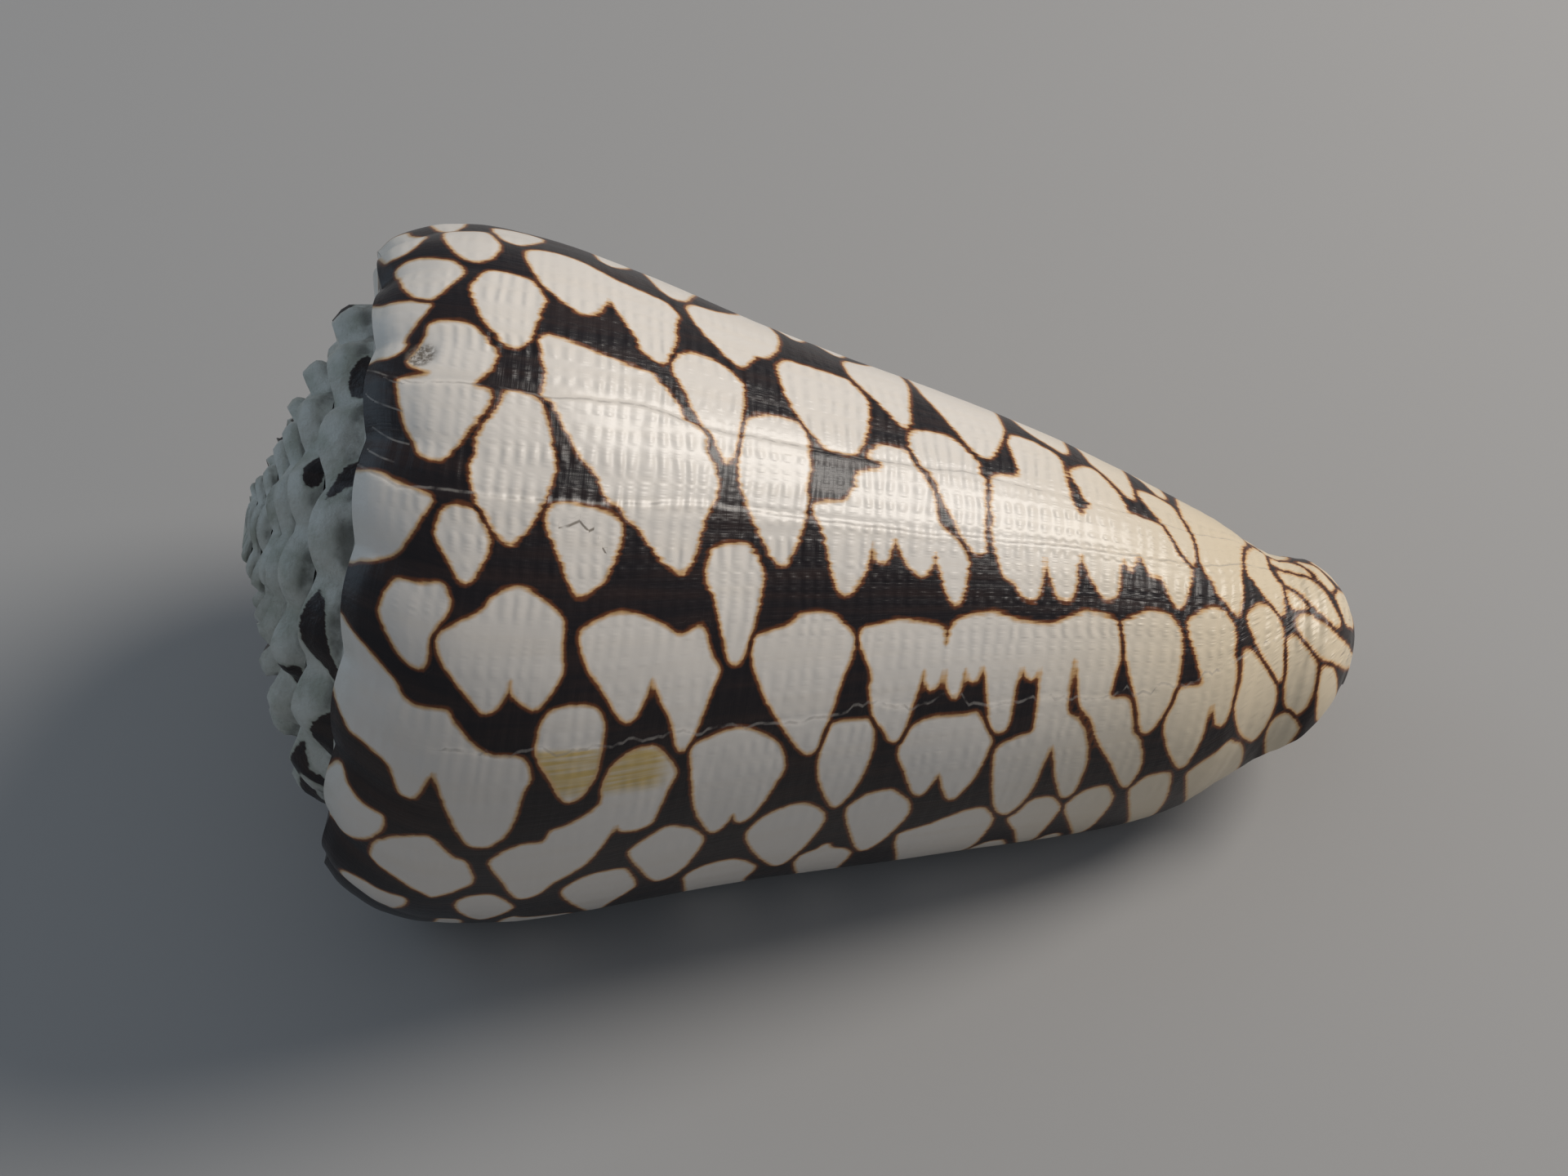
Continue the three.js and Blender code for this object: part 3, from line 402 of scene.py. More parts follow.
# Old lip edges left as ledges along growth lines: place in hundredths and angle, as for the patches.
LEDGES = [
    [(0, -30), (2, -27), (5, -25.3), (15, -25.3), (25, -28), (30, -27), (35, -28.5), (45, -30.5), (57, -35),
     (70, -38), (80, -42), (90, -60)],
    [(0, -11.5), (2, -9.5), (4, -8), (10, -7.8), (20, -9.2), (25, -10.5), (30, -12.5), (40, -14), (55, -17),
     (66, -21), (80, -27), (90, -45)],
    [(10, 31.5), (14, 31), (20, 30.5), (28, 28.7), (36, 26), (44, 24.8), (49, 21.7), (57, 20.5), (65, 19),
     (72, 17.5), (79, 14), (85, 5), (90, -8)],
]
LEDGE_STEPS = [0.13, 0.12, 0.06]
LEDGE_JAGS = [0.12, 0.12, 0.6]
LEDGE_EDGE = 0.2
LEDGE_FADE = 3
LEDGE_GROOVE = 0.3
LEDGE_GROOVE_PLACE = 0.25

# Dark blotches on the walls of the spire: place in hundredths of that turn's length and angle, where the
# penultimate turn runs from -622 to -262 degrees less 360 for each turn further in.
SPIRE_BLOTCHES = [
    [(0.2, -342), (0.6, -346), (1.6, -345.5), (2.6, -341), (3.4, -335), (4.6, -329), (4.6, -325), (3.4, -327),
     (2.4, -329.5), (1.2, -331), (0.4, -333.5), (0.1, -338)],
    [(0.4, -367), (0.5, -370), (1.6, -373.5), (3, -376), (4.6, -377), (4.6, -372), (3.4, -371.5), (2.2, -370),
     (1.2, -367.5)],
    [(1.8, -396), (2.2, -400), (3.2, -403), (4.6, -405), (4.6, -396), (3.4, -394)],
    [(2.3, -316), (3.2, -319), (4.6, -321), (4.6, -305), (3, -307), (2.1, -312)],
    [(0.3, -300), (1, -301.5), (2, -298), (4.6, -296), (4.6, -292), (1.8, -294), (1.2, -290), (1.4, -284),
     (2.6, -278), (4.6, -275), (4.6, -268), (2, -270), (0.8, -276), (0.2, -284), (0.1, -292)],
    [(1.6, -737), (2.2, -742), (4.6, -746), (4.6, -735), (2.6, -733)],
    [(0.6, -672), (1.4, -676), (4.6, -678), (4.6, -668), (2, -666)],
]
SPIRE_BLOTCH_SEED = 11
BLOTCH_ANGLES = (-1900.0, 90)
SEEN_ANGLES = (-82, 92)

# Small damage that the photograph shows: a worn pit, a fine crack, pale scratches and an ochre stain.
PIT_PLACE = (4.3, -31.0)
PIT_RADIUS = 1.55
PIT_DEPTH = 0.22
CRACK = [(17.8, -4.4), (18.8, -5.2), (19.6, -6.0), (20.3, -4.6), (20.8, -5.2), (21.4, -3.4), (22.2, -1.4)]
SCRATCHES = [
    [(0.2, -24.5), (1.0, -22.6), (2.2, -21.2), (3.4, -20.2)],
    [(0.5, -18.8), (1.4, -17.0), (2.6, -15.6), (4.0, -14.8)],
    [(1.6, -26.8), (2.4, -25.6), (3.2, -25.2)],
    [(0.4, -14.4), (1.8, -12.6), (3.0, -11.8)],
]
STAIN_SHARES = (18.1, 31.5)
STAIN_ANGLES = (30.0, 38.0)
STAIN_SLANT = 0.12

# Distances that stand for no patch and no line near a point, in millimetres.
NO_PATCH = -3.0
NO_LINE = 9.0
LINE_REACH = 0.5

# Values that each point of the mesh carries for the material.
PATCH_NAMES = ("patch_a", "patch_b", "patch_c", "patch_d")
VALUE_NAMES = (
    *PATCH_NAMES, "ledge", "spire", "groove", "inside", "ragged", "pit", "crack", "scratch", "stain",
)
PLAIN = {
    "patch_b": NO_PATCH, "patch_c": NO_PATCH, "patch_d": NO_PATCH,
    "ledge": NO_LINE, "crack": NO_LINE, "scratch": NO_LINE,
}

# Colours of the material.
WHITE = (0.83, 0.77, 0.70)
WARM_WHITE = (0.80, 0.71, 0.60)
GREY_WHITE = (0.70, 0.66, 0.61)
CREAM = (0.74, 0.61, 0.42)
HALO = (0.68, 0.41, 0.18)
RIM = (0.17, 0.05, 0.014)
DARK = (0.012, 0.008, 0.009)
DARK_BROWN = (0.026, 0.014, 0.012)
# Mid-grey of scratches and scuffs, and of the ledge lines, which are partly painted shadow on the white.
MARK_GREY_AND_LEDGE_SHADE = (0.34, 0.31, 0.28)
OCHRE = (0.66, 0.47, 0.17)
PIT_GREY = (0.20, 0.165, 0.13)
SPIRE_WHITE = (0.56, 0.57, 0.52)
SPIRE_GREEN = (0.40, 0.42, 0.36)
INSIDE_WHITE = (0.80, 0.77, 0.74)
# Grey of the painted shade in the sutures between the turns of the spire.
SUTURE_SHADE_GREY = (0.10, 0.095, 0.085)

# Turns between which the relief of the spire goes over into that of the last turn.
UNEVEN_TURNS = (-1.1, -0.9)
SPIRE_KNOB_TURNS = (-1.2, -1.0)
WALL_BULGE_TURNS = (-1.0, -1.15)
WORN_TURNS = (-1.0, -0.9)

# Shares of the length, or of the ramp's rise, over which relief, wear and the painted shade of the sutures
# start or stop.
UNEVEN_FROM_SHARE = 0.01
WORN_TO_SHARE = 0.025
BEADED_SHARES = (0.02, 0.12)
# Wall shares and ramp rises that take the painted shade of the sutures.
SUTURE_SHADE_SHARES = (0.024, 0.036)
SUTURE_SHADE_RISE = (0.05, 0.3)
GOAL_FROM_RISE = 0.85

# Factors and exponents of the spire, the ramp and the inside.
WALL_BULGE_GAP = 0.35
WORN_LOSS = 0.6
RAMP_EASING = 1.6
RAMP_INNER_GAIN = 1.1
CREST_PATCH_SPREAD = 1.3
INSIDE_CROWDING = 1.4
INSIDE_TEXTURE_STEP = 0.3

# Angles in degrees: over which the canal shuts, and the least step between columns.
CANAL_SHUTS_DEG = 30
LEAST_STEP_DEG = 0.3

# Uneven relief: height, size and seed of each layer, in millimetres.
BODY_LUMPS = (0.07, 9.0, 1)
PIT_LUMPS = (0.1, 0.7, 2)
JAG_LUMPS = ((1.0, 2.2, 6), (0.6, 0.8, 7))
LUMP_SHIFT = (7.3, 3.1, 1.7)
LUMP_FRACTAL = (0.7, 2.1, 3)

# Share of the pit's radius that is flat.
PIT_FLAT = 0.35

# Margins in hundredths of the length and in degrees, for grouping patches and for finding near ones.
GROUP_MARGIN = (1, 3)
SEARCH_MARGIN = (4, 6)

# How ragged the edges of patches are, and the distance that makes a point white all over.
BODY_RAGGED = 0.3
SPIRE_RAGGED = 0.6
ALL_WHITE = 3

# Thin lines: half width in millimetres, where the noise breaks them, colour and strength.
LINE_LOOKS = (
    # The ledge line is a pale broken edge on the dark ground and painted shadow along the step on the white.
    ("ledge", 0.1, (0.35, 0.6), MARK_GREY_AND_LEDGE_SHADE, 0.5),
    ("scratch", 0.07, (0.3, 0.6), MARK_GREY_AND_LEDGE_SHADE, 0.6),
    ("crack", 0.1, (0.25, 0.45), PIT_GREY, 0.85),
)

# Fine relief of the material in millimetres, and its roughness.
BEAD_BUMP = 0.024
CORD_BUMP = 0.03
HAIR_BUMP = 0.035
WORN_BUMP = 0.3
ROUGHNESS = 0.35
SPIRE_ROUGHER = 0.08

# Studio: lights with place, size, power and colour, and the room and floor.
LIGHT_TARGET = (0, 0, 0.02)
LIGHTS = (
    ("key_light", (0.385, 0.18, 0.365), 0.26, 2.25, (1.0, 0.95, 0.89)),
    ("sky_light", (-0.42, 0.12, 0.2), 0.4, 0.28, (0.6, 0.8, 1.0)),
)
ROOM_COLOUR = (0.76, 0.84, 0.95)
ROOM_STRENGTH = 0.23
FLOOR_SIZE = 6
FLOOR_GREY = (0.42, 0.41, 0.40)


def smooth_table(table):
    """Smooth curve through a table of place and value pairs, without overshoot."""
    places, values = np.array(table, float).T
    slopes = np.diff(values) / np.diff(places)
    tangents = np.concatenate([slopes[:1], np.zeros(len(slopes) - 1), slopes[-1:]])
    for i in range(1, len(slopes)):
        if slopes[i - 1] * slopes[i] > 0:
            tangents[i] = 2 * slopes[i - 1] * slopes[i] / (slopes[i - 1] + slopes[i])

    def curve(place):
        x = np.clip(place, places[0], places[-1])
        i = np.clip(np.searchsorted(places, x, side="right") - 1, 0, len(slopes) - 1)
        width = places[i + 1] - places[i]
        s = (x - places[i]) / width
        rise = s * s * (3 - 2 * s)
        bend = s * (1 - s) ** 2 * tangents[i] + s * s * (s - 1) * tangents[i + 1]
        return values[i] * (1 - rise) + values[i + 1] * rise + width * bend

    return curve


crest_table = smooth_table(CREST_DEPTHS)
outline_share = smooth_table(OUTLINE)
growth_lean_deg = smooth_table(GROWTH_LEAN_DEG)


def smooth_step(low, high, value):
    s = np.clip((value - low) / (high - low), 0, 1)
    return s * s * (3 - 2 * s)


def blend(a, b, s):
    return a + (b - a) * s


def crest_radius(turn):
    return CREST_RADIUS * RADIUS_PER_TURN ** turn


def full_size(turn, radius):
    """1 where the crest is at least this wide, less toward the apex."""
    return np.minimum(1, crest_radius(turn) / radius)


def crest_depth(turn):
    return crest_table(turn) * RADIUS_PER_TURN ** np.minimum(turn - CREST_DEPTHS[0][0], 0)


def end_depth(turn):
    late = LENGTH - END_BEND * (turn - END_PEAK_TURN) ** 2
    first = LENGTH - END_BEND * (-1 - END_PEAK_TURN) ** 2
    early = crest_depth(turn) + (first - crest_depth(-1.0)) * RADIUS_PER_TURN ** (turn + 1)
    return np.where(turn < -1, early, late)


def body_radius(turn, share):
    widening = 2 * smooth_step(*FLARE_TURNS, turn) - 1
    flare = 1 + FLARE * smooth_step(*FLARE_SHARES, share) * widening
    return crest_radius(turn) * outline_share(share) * flare


def depth_at(turn, share):
    return blend(crest_depth(turn), end_depth(turn), share)


def polar(depth, radius, angle):
    """Points in the shell's own frame from depth, radius and angle in radians."""
    return np.stack([depth, -radius * np.sin(angle), radius * np.cos(angle)], -1)


def knob_phase(turn):
    return KNOBS_LAST_TURN * KNOBS_PER_TURN ** turn / np.log(KNOBS_PER_TURN)


def knob_wave(turn):
    """1 on the top of a knob and 0 midway between two."""
    return 0.5 + 0.5 * np.cos(TURN * knob_phase(turn))


def knob_reach(turn, share):
    """How much of a knob is left further from the shoulder and toward the apex."""
    return np.exp(-share / KNOB_FADE) * full_size(turn, KNOBBY_RADIUS)


def knob_height(turn, share):
    """Knobs along the shoulder: rounded tops with narrower gaps between them."""
    return KNOB_RELIEF * (np.sqrt(knob_wave(turn)) - KNOB_GAP) * knob_reach(turn, share)


def uneven_knobs(turn, share):
    """No two knobs are alike: each stands a little higher or lower, more so on the worn spire."""
    sizes = np.random.default_rng(KNOB_SEED).uniform(-1, 1, KNOB_SIZES)
    number = np.round(knob_phase(turn)).astype(int) % KNOB_SIZES
    strength = blend(UNEVEN_SPIRE, UNEVEN_LAST_TURN, smooth_step(*UNEVEN_TURNS, turn))
    below_crest = smooth_step(0, UNEVEN_FROM_SHARE, share)
    return strength * sizes[number] * knob_wave(turn) * knob_reach(turn, share) * below_crest


def scallop(turn, share):
    """The worn spire shows its knobs more strongly than the last turn does."""
    return knob_height(turn, share) * blend(SPIRE_KNOB_GAIN, 1, smooth_step(*SPIRE_KNOB_TURNS, turn))


def wall_bulge(turn, share):
    """Each knob of the spire swells the wall below it like a lens, down to the suture."""
    size = full_size(turn, BULGY_RADIUS) * smooth_step(*WALL_BULGE_TURNS, turn)
    lens = np.sin(np.pi * np.clip(share / WALL_BULGE_SHARE, 0, 1))
    return WALL_BULGE * size * (knob_wave(turn) - WALL_BULGE_GAP) * lens


def angle_deg(turn, share):
    return LIP_ANGLE_DEG + 360 * turn + growth_lean_deg(share)


def outer_point(turn, share, relief=0.0):
    knob = scallop(turn, share)
    radius = body_radius(turn, share) + knob + relief
    return polar(depth_at(turn, share) - knob, radius, angle_deg(turn, share) * RAD)


def rest_rotation():
    return Matrix.Rotation(REST_TIP_DEG * RAD, 3, "Y") @ Matrix.Rotation(REST_ROLL_DEG * RAD, 3, "X")


def rest_shift():
    """Shift that sets the laid shell where the solid stands, from the solid's own corners."""
    turn = -np.arange(SOLID_COLUMNS + 1)[:, None] / SOLID_COLUMNS
    share = np.array([pair[0] for pair in OUTLINE])[None, :]
    corners = outer_point(turn, share).reshape(-1, 3)
    laid = np.concatenate([corners, np.zeros((1, 3))]) @ np.array(rest_rotation()).T
    low, high = laid.min(0), laid.max(0)
    return np.array([-(low[0] + high[0]) / 2, -(low[1] + high[1]) / 2, -low[2]])


def laid_down(points):
    """From the shell's own frame in millimetres to the scene in metres."""
    return (points @ np.array(rest_rotation()).T + rest_shift()) * MM


def smooth_outline(points, steps=4):
    """Closed smooth curve through the points of a patch, with sharp notches kept."""
    corners = np.array([point[:2] for point in points], float)
    tangents = (np.roll(corners, -1, 0) - np.roll(corners, 1, 0)) / 2
    tangents[[len(point) > 2 for point in points]] = 0
    following = np.roll(corners, -1, 0)
    next_tangents = np.roll(tangents, -1, 0)
    pieces = []
    for s in np.arange(steps) / steps:
        rise = s * s * (3 - 2 * s)
        bend = s * (1 - s) ** 2 * tangents + s * s * (s - 1) * next_tangents
        pieces.append(corners * (1 - rise) + following * rise + bend)
    return np.stack(pieces, 1).reshape(-1, 2)


def far_patches():
    """Patches of the far side: rounded at the older end, pointed toward the lip, in staggered rows."""
    rng = np.random.default_rng(FAR_PATCH_SEED)
    patches = []
    tip_rows = len(TIP_ROW_STARTS)
    for row in range(-tip_rows, FAR_ROWS):
        start = TIP_ROW_STARTS[row + tip_rows] if row < 0 else 0
        place = start - rng.uniform(1, 2 if row < 0 else 6)
        while place < 100:
            width = rng.uniform(*FAR_WIDTHS) * (TIP_WIDTH_GAIN if place > TIP_FROM else 1)
            height = rng.uniform(*FAR_HEIGHTS)
            middle = FAR_ROW_FIRST_DEG - row * FAR_ROW_STEP_DEG + rng.uniform(-2, 2)
            middle += float(growth_lean_deg(np.clip(place / 100, 0, 0.95)))
            patches.append([(place + width * (0.5 + x), middle + height * y) for x, y in FAR_PATCH_SHAPE])
            place += width + rng.uniform(*FAR_GAPS)
    return patches


def segment_distance(spots, starts, ends):
    """Distance from each spot to each straight stretch, both in millimetres of the spot's own scale."""
    along = ends - starts
    reach = np.sum((spots - starts) * along, -1) / np.maximum(np.sum(along * along, -1), 1e-12)
    nearest = starts + np.clip(reach, 0, 1)[..., None] * along
    return np.linalg.norm(spots - nearest, axis=-1)


def inside_outline(spots, outline):
    """Even-odd test of the spots against a closed outline."""
    x, y = spots[:, 0:1], spots[:, 1:2]
    x0, y0 = outline.T
    x1, y1 = np.roll(outline, -1, 0).T
    crosses = (y0 > y) != (y1 > y)
    rise = np.where(y1 == y0, 1, y1 - y0)
    left = x < (x1 - x0) * (y - y0) / rise + x0
    return np.sum(crosses & left, 1) % 2 == 1


def spire_blotches():
    """The traced blotches, and more of them by rule on the ramps and on the walls turned away."""
    rng = np.random.default_rng(SPIRE_BLOTCH_SEED)
    blotches = list(SPIRE_BLOTCHES)
    angle, last_angle = BLOTCH_ANGLES
    while angle < last_angle:
        in_view = SEEN_ANGLES[0] < (angle + 180) % 360 - 180 < SEEN_ANGLES[1]
        low = -rng.uniform(2.5, 7)
        high = -rng.uniform(0.6, 1.6) if in_view else rng.uniform(1, 5)
        half = rng.uniform(3, 7)
        slant = rng.uniform(-3, 5)
        blotches.append([
            (low, angle), (blend(low, high, 0.3), angle - half),
            (blend(low, high, 0.75), angle - 0.7 * half + slant), (high, angle + slant),
            (blend(low, high, 0.8), angle + half + slant), (blend(low, high, 0.3), angle + half),
        ])
        angle += rng.uniform(15, 34)
    return blotches


def overlap(box, other):
    """Area that two boxes share, each given by its low and its high corner."""
    return np.prod(np.clip(np.minimum(box[1], other[1]) - np.maximum(box[0], other[0]), 0, None))


def patch_groups(patches):
    """The patches shared out over four groups, so that neighbours are in different ones."""
    corners = [np.array([point[:2] for point in patch]) for patch in patches]
    boxes = [(points.min(0) - GROUP_MARGIN, points.max(0) + GROUP_MARGIN) for points in corners]
    groups = [[] for name in PATCH_NAMES]
    for number, box in enumerate(boxes):
        crowding = [sum(overlap(box, boxes[k]) for k in group) for group in groups]
        groups[int(np.argmin(crowding))].append(number)
    return [[patches[number] for number in group] for group in groups]


def nearest_field(fields):
    """Distance to the nearest patch edge, with a thin line kept where two patches meet."""
    ordered = np.sort(fields, axis=0)
    return np.minimum(ordered[-1], LINE_SLOPE * (ordered[-1] - ordered[-2]) - LINE_BETWEEN)


def outline_distance(places, scales, patches):
    """Signed distance to the edge of the nearest patch, positive inside, in millimetres."""
    field = np.full(len(places), NO_PATCH)
    for patch in patches:
        outline = smooth_outline(patch)
        low = outline.min(0) - SEARCH_MARGIN
        high = outline.max(0) + SEARCH_MARGIN
        near = np.where(np.all((places > low) & (places < high), 1))[0]
        if not len(near):
            continue
        spots = places[near]
        scale = scales[near][:, None, :]
        distance = segment_distance(
            spots[:, None, :] * scale, outline[None] * scale, np.roll(outline, -1, 0)[None] * scale
        ).min(1)
        signed = np.where(inside_outline(spots, outline), distance, -distance)
        field[near] = np.maximum(field[near], signed)
    return field


def line_distance(places, scales, lines):
    """Distance in millimetres to the nearest of some lines along the shell, positive on the lip side."""
    field = np.full(len(places), NO_LINE)
    for line in lines:
        curve = smooth_table(line)
        offset = (places[:, 1] - curve(places[:, 0])) * scales[:, 1]
        beyond = np.maximum(line[0][0] - places[:, 0], places[:, 0] - line[-1][0]) * scales[:, 0]
        offset = np.where(beyond > 0, offset + np.where(offset < 0, -1, 1) * beyond * 2, offset)
        field = np.where(np.abs(offset) < np.abs(field), offset, field)
    return field


def mark_distance(places, scales, lines):
    """A line's distance only close to it, so that two lines leave no mark halfway between them."""
    distance = line_distance(places, scales, lines)
    return np.where(np.abs(distance) > LINE_REACH, NO_LINE, distance)


def lumps(points, height, size, seed):
    """Soft uneven relief over points in millimetres."""
    shift = Vector([seed * step for step in LUMP_SHIFT])
    flat = points.reshape(-1, 3) / size
    heights = [noise.fractal(Vector(point) + shift, *LUMP_FRACTAL) for point in flat]
    return height * np.array(heights).reshape(points.shape[:-1])


def pit_share(places, scales):
    """1 in the worn pit and 0 away from it."""
    away = np.linalg.norm((places - PIT_PLACE) * scales, axis=1)
    return 1 - smooth_step(PIT_FLAT * PIT_RADIUS, PIT_RADIUS, away)


class SurfaceMesh:
    """Points, faces and per-point values, gathered sheet by sheet."""

    def __init__(self):
        self.points = []
        self.values = {name: [] for name in VALUE_NAMES}
        self.places = []
        self.faces = []
        self.count = 0

    def sheet(self, points, places, flipped=False, **values):
        """A grid of points, rows by columns, with its values."""
        rows, columns = points.shape[:2]
        index = np.arange(rows * columns).reshape(rows, columns) + self.count
        corners = [index[:-1, :-1], index[1:, :-1], index[1:, 1:], index[:-1, 1:]]
        if flipped:
            corners = corners[::-1]
        self.faces.append(np.stack(corners, -1).reshape(-1, 4))
        self.points.append(points.reshape(-1, 3))
        self.places.append(places.reshape(-1, 3))
        for name, kept in self.values.items():
            kept.append(np.broadcast_to(values.get(name, 0.0), (rows, columns)).reshape(-1).astype(float))
        self.count += rows * columns

    def object(self, name):
        mesh = bpy.data.meshes.new(name)
        points = laid_down(np.concatenate(self.points))
        faces = np.concatenate(self.faces)
        mesh.vertices.add(len(points))
        mesh.vertices.foreach_set("co", points.ravel())
        mesh.loops.add(faces.size)
        mesh.loops.foreach_set("vertex_index", faces.ravel())
        mesh.polygons.add(len(faces))
        mesh.polygons.foreach_set("loop_start", np.arange(len(faces)) * 4)
        mesh.polygons.foreach_set("use_smooth", np.ones(len(faces), bool))
        mesh.update(calc_edges=True)
        for key, kept in self.values.items():
            mesh.attributes.new(key, "FLOAT", "POINT").data.foreach_set("value", np.concatenate(kept))
        place = mesh.attributes.new("place", "FLOAT_VECTOR", "POINT")
        place.data.foreach_set("vector", np.concatenate(self.places).ravel())
        piece = bpy.data.objects.new(name, mesh)
        bpy.context.collection.objects.link(piece)
        return piece


def body_shares():
    shoulder = np.linspace(0, SHOULDER_SHARE, SHOULDER_ROWS)
    rest = np.linspace(SHOULDER_SHARE, 1, BODY_ROWS - SHOULDER_ROWS + 1)[1:]
    return np.concatenate([shoulder, rest])


def last_turns():
    """Turn counts of the columns of the last turn, fine where the photograph shows it and at the ledges."""
    angles = [LIP_ANGLE_DEG - 360]
    while angles[-1] < LIP_ANGLE_DEG - LEAST_STEP_DEG:
        here = angles[-1]
        step = FINE_STEP_DEG if here > FINE_FROM_DEG else COARSE_STEP_DEG
        if any(low < here < high for low, high in LEDGE_ANGLES):
            step = LEDGE_STEP_DEG
        angles.append(min(here + step, LIP_ANGLE_DEG))
    return (np.array(angles) - LIP_ANGLE_DEG) / 360


def ledge_relief(offset):
    """The later growth starts on a step of height 1, with a fine furrow before it."""
    step = smooth_step(-LEDGE_EDGE, LEDGE_EDGE, offset) * np.exp(-np.maximum(offset, 0) / LEDGE_FADE)
    return step - LEDGE_GROOVE * np.exp(-((offset + LEDGE_GROOVE_PLACE) / LEDGE_GROOVE_PLACE) ** 2)


def cord_relief(turn, share, beaded):
    """Low spiral cords, unevenly spaced and stronger toward the siphonal end, with low growth ridges."""
    along = share * BODY_LENGTH
    degrees = turn * 360
    cords = np.cos(TURN * (along / CORD_SPACING + 0.15 * np.sin(along * 0.9)))
    growth = np.sin(degrees * 1.1) * np.sin(degrees * 0.47 + 1) + 0.5 * np.sin(degrees * 2.1)
    strength = blend(CORD_RELIEF_MIDDLE, CORD_RELIEF_END, smooth_step(0.75, 0.95, share))
    strength = (strength + CORD_RELIEF_BEADED * beaded) * smooth_step(0.08, 0.3, share)
    return cords * strength + growth * (GROWTH_RELIEF + GROWTH_RELIEF_BEADED * beaded)


def grid_places(along, turn, share):
    """Coordinates for the fine texture: millimetres along, millimetres round, and the share."""
    return np.stack(np.broadcast_arrays(along, turn * TURN * TEXTURE_RADIUS, share), -1)


def add_last_turn(surface):
    turn = last_turns()[None, :]
    share = body_shares()[:, None]
    radius = body_radius(turn, share)
    angle = angle_deg(turn, share)
    places = np.stack(np.broadcast_arrays(share * 100, angle), -1).reshape(-1, 2)
    slope = np.gradient(radius, share[:, 0], axis=0) / BODY_LENGTH
    scale_along = HUNDREDTH * np.sqrt(1 + np.minimum(slope ** 2, 4))
    scales = np.stack([scale_along, radius * RAD], -1).reshape(-1, 2)
    shape = radius.shape
    plain = outer_point(turn, share)
    offsets = ledge_offsets(places, scales, plain)
    ledge = np.where(np.abs(offsets).min(0) == np.abs(offsets), offsets, 0).sum(0)
    groups = patch_groups(WHITE_PATCHES + far_patches())
    fields = [outline_distance(places, scales, group).reshape(shape) for group in groups]
    patches = dict(zip(PATCH_NAMES, fields))
    pit = pit_share(places, scales).reshape(shape)
    beaded = smooth_step(*BEADED_FROM_DEG, angle) * (1 - smooth_step(*BEADED_TO_DEG, angle))
    beaded *= smooth_step(*BEADED_SHARES, share)
    relief = sum(step * ledge_relief(offset) for step, offset in zip(LEDGE_STEPS, offsets))
    relief += cord_relief(turn, share, beaded) + uneven_knobs(turn, share)
    relief += lumps(plain, *BODY_LUMPS) - pit * (PIT_DEPTH + lumps(plain, *PIT_LUMPS))
    points = outer_point(turn, share, relief)
    surface.sheet(
        points, grid_places(share * BODY_LENGTH, turn, share), flipped=True, ledge=ledge, pit=pit,
        spire=WORN_AT_CREST * (1 - smooth_step(0, WORN_TO_SHARE, share)),
        ragged=blend(BODY_RAGGED, 1, beaded),
        crack=mark_distance(places, scales, [CRACK]).reshape(shape),
        scratch=mark_distance(places, scales, SCRATCHES).reshape(shape),
        stain=stain_share(places).reshape(shape), **patches,
    )
    return points, patches


def ledge_offsets(places, scales, plain):
    """Distance to each ledge, with the small jags of a broken lip edge."""
    along = np.zeros(plain.shape)
    along[..., 0] = plain[..., 0]
    jags = sum(lumps(along, *layer) for layer in JAG_LUMPS)
    return np.stack([
        line_distance(places, scales, [line]).reshape(jags.shape) + jags * size
        for line, size in zip(LEDGES, LEDGE_JAGS)
    ])


def stain_share(places):
    along, angle = places.T
    first, last = STAIN_SHARES
    low, high = STAIN_ANGLES
    across = smooth_step(low, low + 0.8, angle)
    across *= 1 - smooth_step(high, high + 3, angle + STAIN_SLANT * (along - first))
    return across * (along > first) * (1 - smooth_step(last - 3, last, along))


def ramp_points(turn, rise):
    """Ramp from the suture, rise 0, to the crest, rise 1, tucked into the wall of the turn before."""
    tuck = SUTURE_TUCK + SUTURE_TUCK_LARGE * full_size(turn, SUTURE_LARGE_RADIUS)
    inner_radius = body_radius(turn - 1, SUTURE_SHARE) + scallop(turn - 1, SUTURE_SHARE) - tuck
    inner_depth = depth_at(turn - 1, SUTURE_SHARE) + SUTURE_TUCK
    knob = scallop(turn, 0.0)
    sink = RAMP_SINK * np.sin(np.pi * rise) * full_size(turn, KNOBBY_RADIUS)
    radius = blend(inner_radius, crest_radius(turn) + knob, rise)
    depth = blend(inner_depth, crest_depth(turn) - knob, rise ** RAMP_EASING) + sink
    return polar(depth, radius, angle_deg(turn, 0.0) * RAD), radius


def worn(points, turn):
    """The spire is worn: soft lumps all over it, smaller toward the apex."""
    strength = full_size(turn, WORN_RADIUS) * (1 - smooth_step(*WORN_TURNS, turn) * WORN_LOSS)
    height = sum(lumps(points, *layer) for layer in WORN_LUMPS)
    out = points - np.array(WORN_CENTRE)
    out = out / np.maximum(np.linalg.norm(out, axis=-1, keepdims=True), 1e-6)
    return points + out * (height * strength)[..., None]


def blotch_patch(along, angle, radius):
    """Distance from the nearest dark blotch of the spire, positive outside it."""
    along, angle, radius = np.broadcast_arrays(along, angle, radius)
    places = np.stack([along, angle], -1).reshape(-1, 2)
    scales = np.stack([np.full(along.shape, HUNDREDTH), radius * RAD], -1).reshape(-1, 2)
    return -outline_distance(places, scales, spire_blotches()).reshape(along.shape)


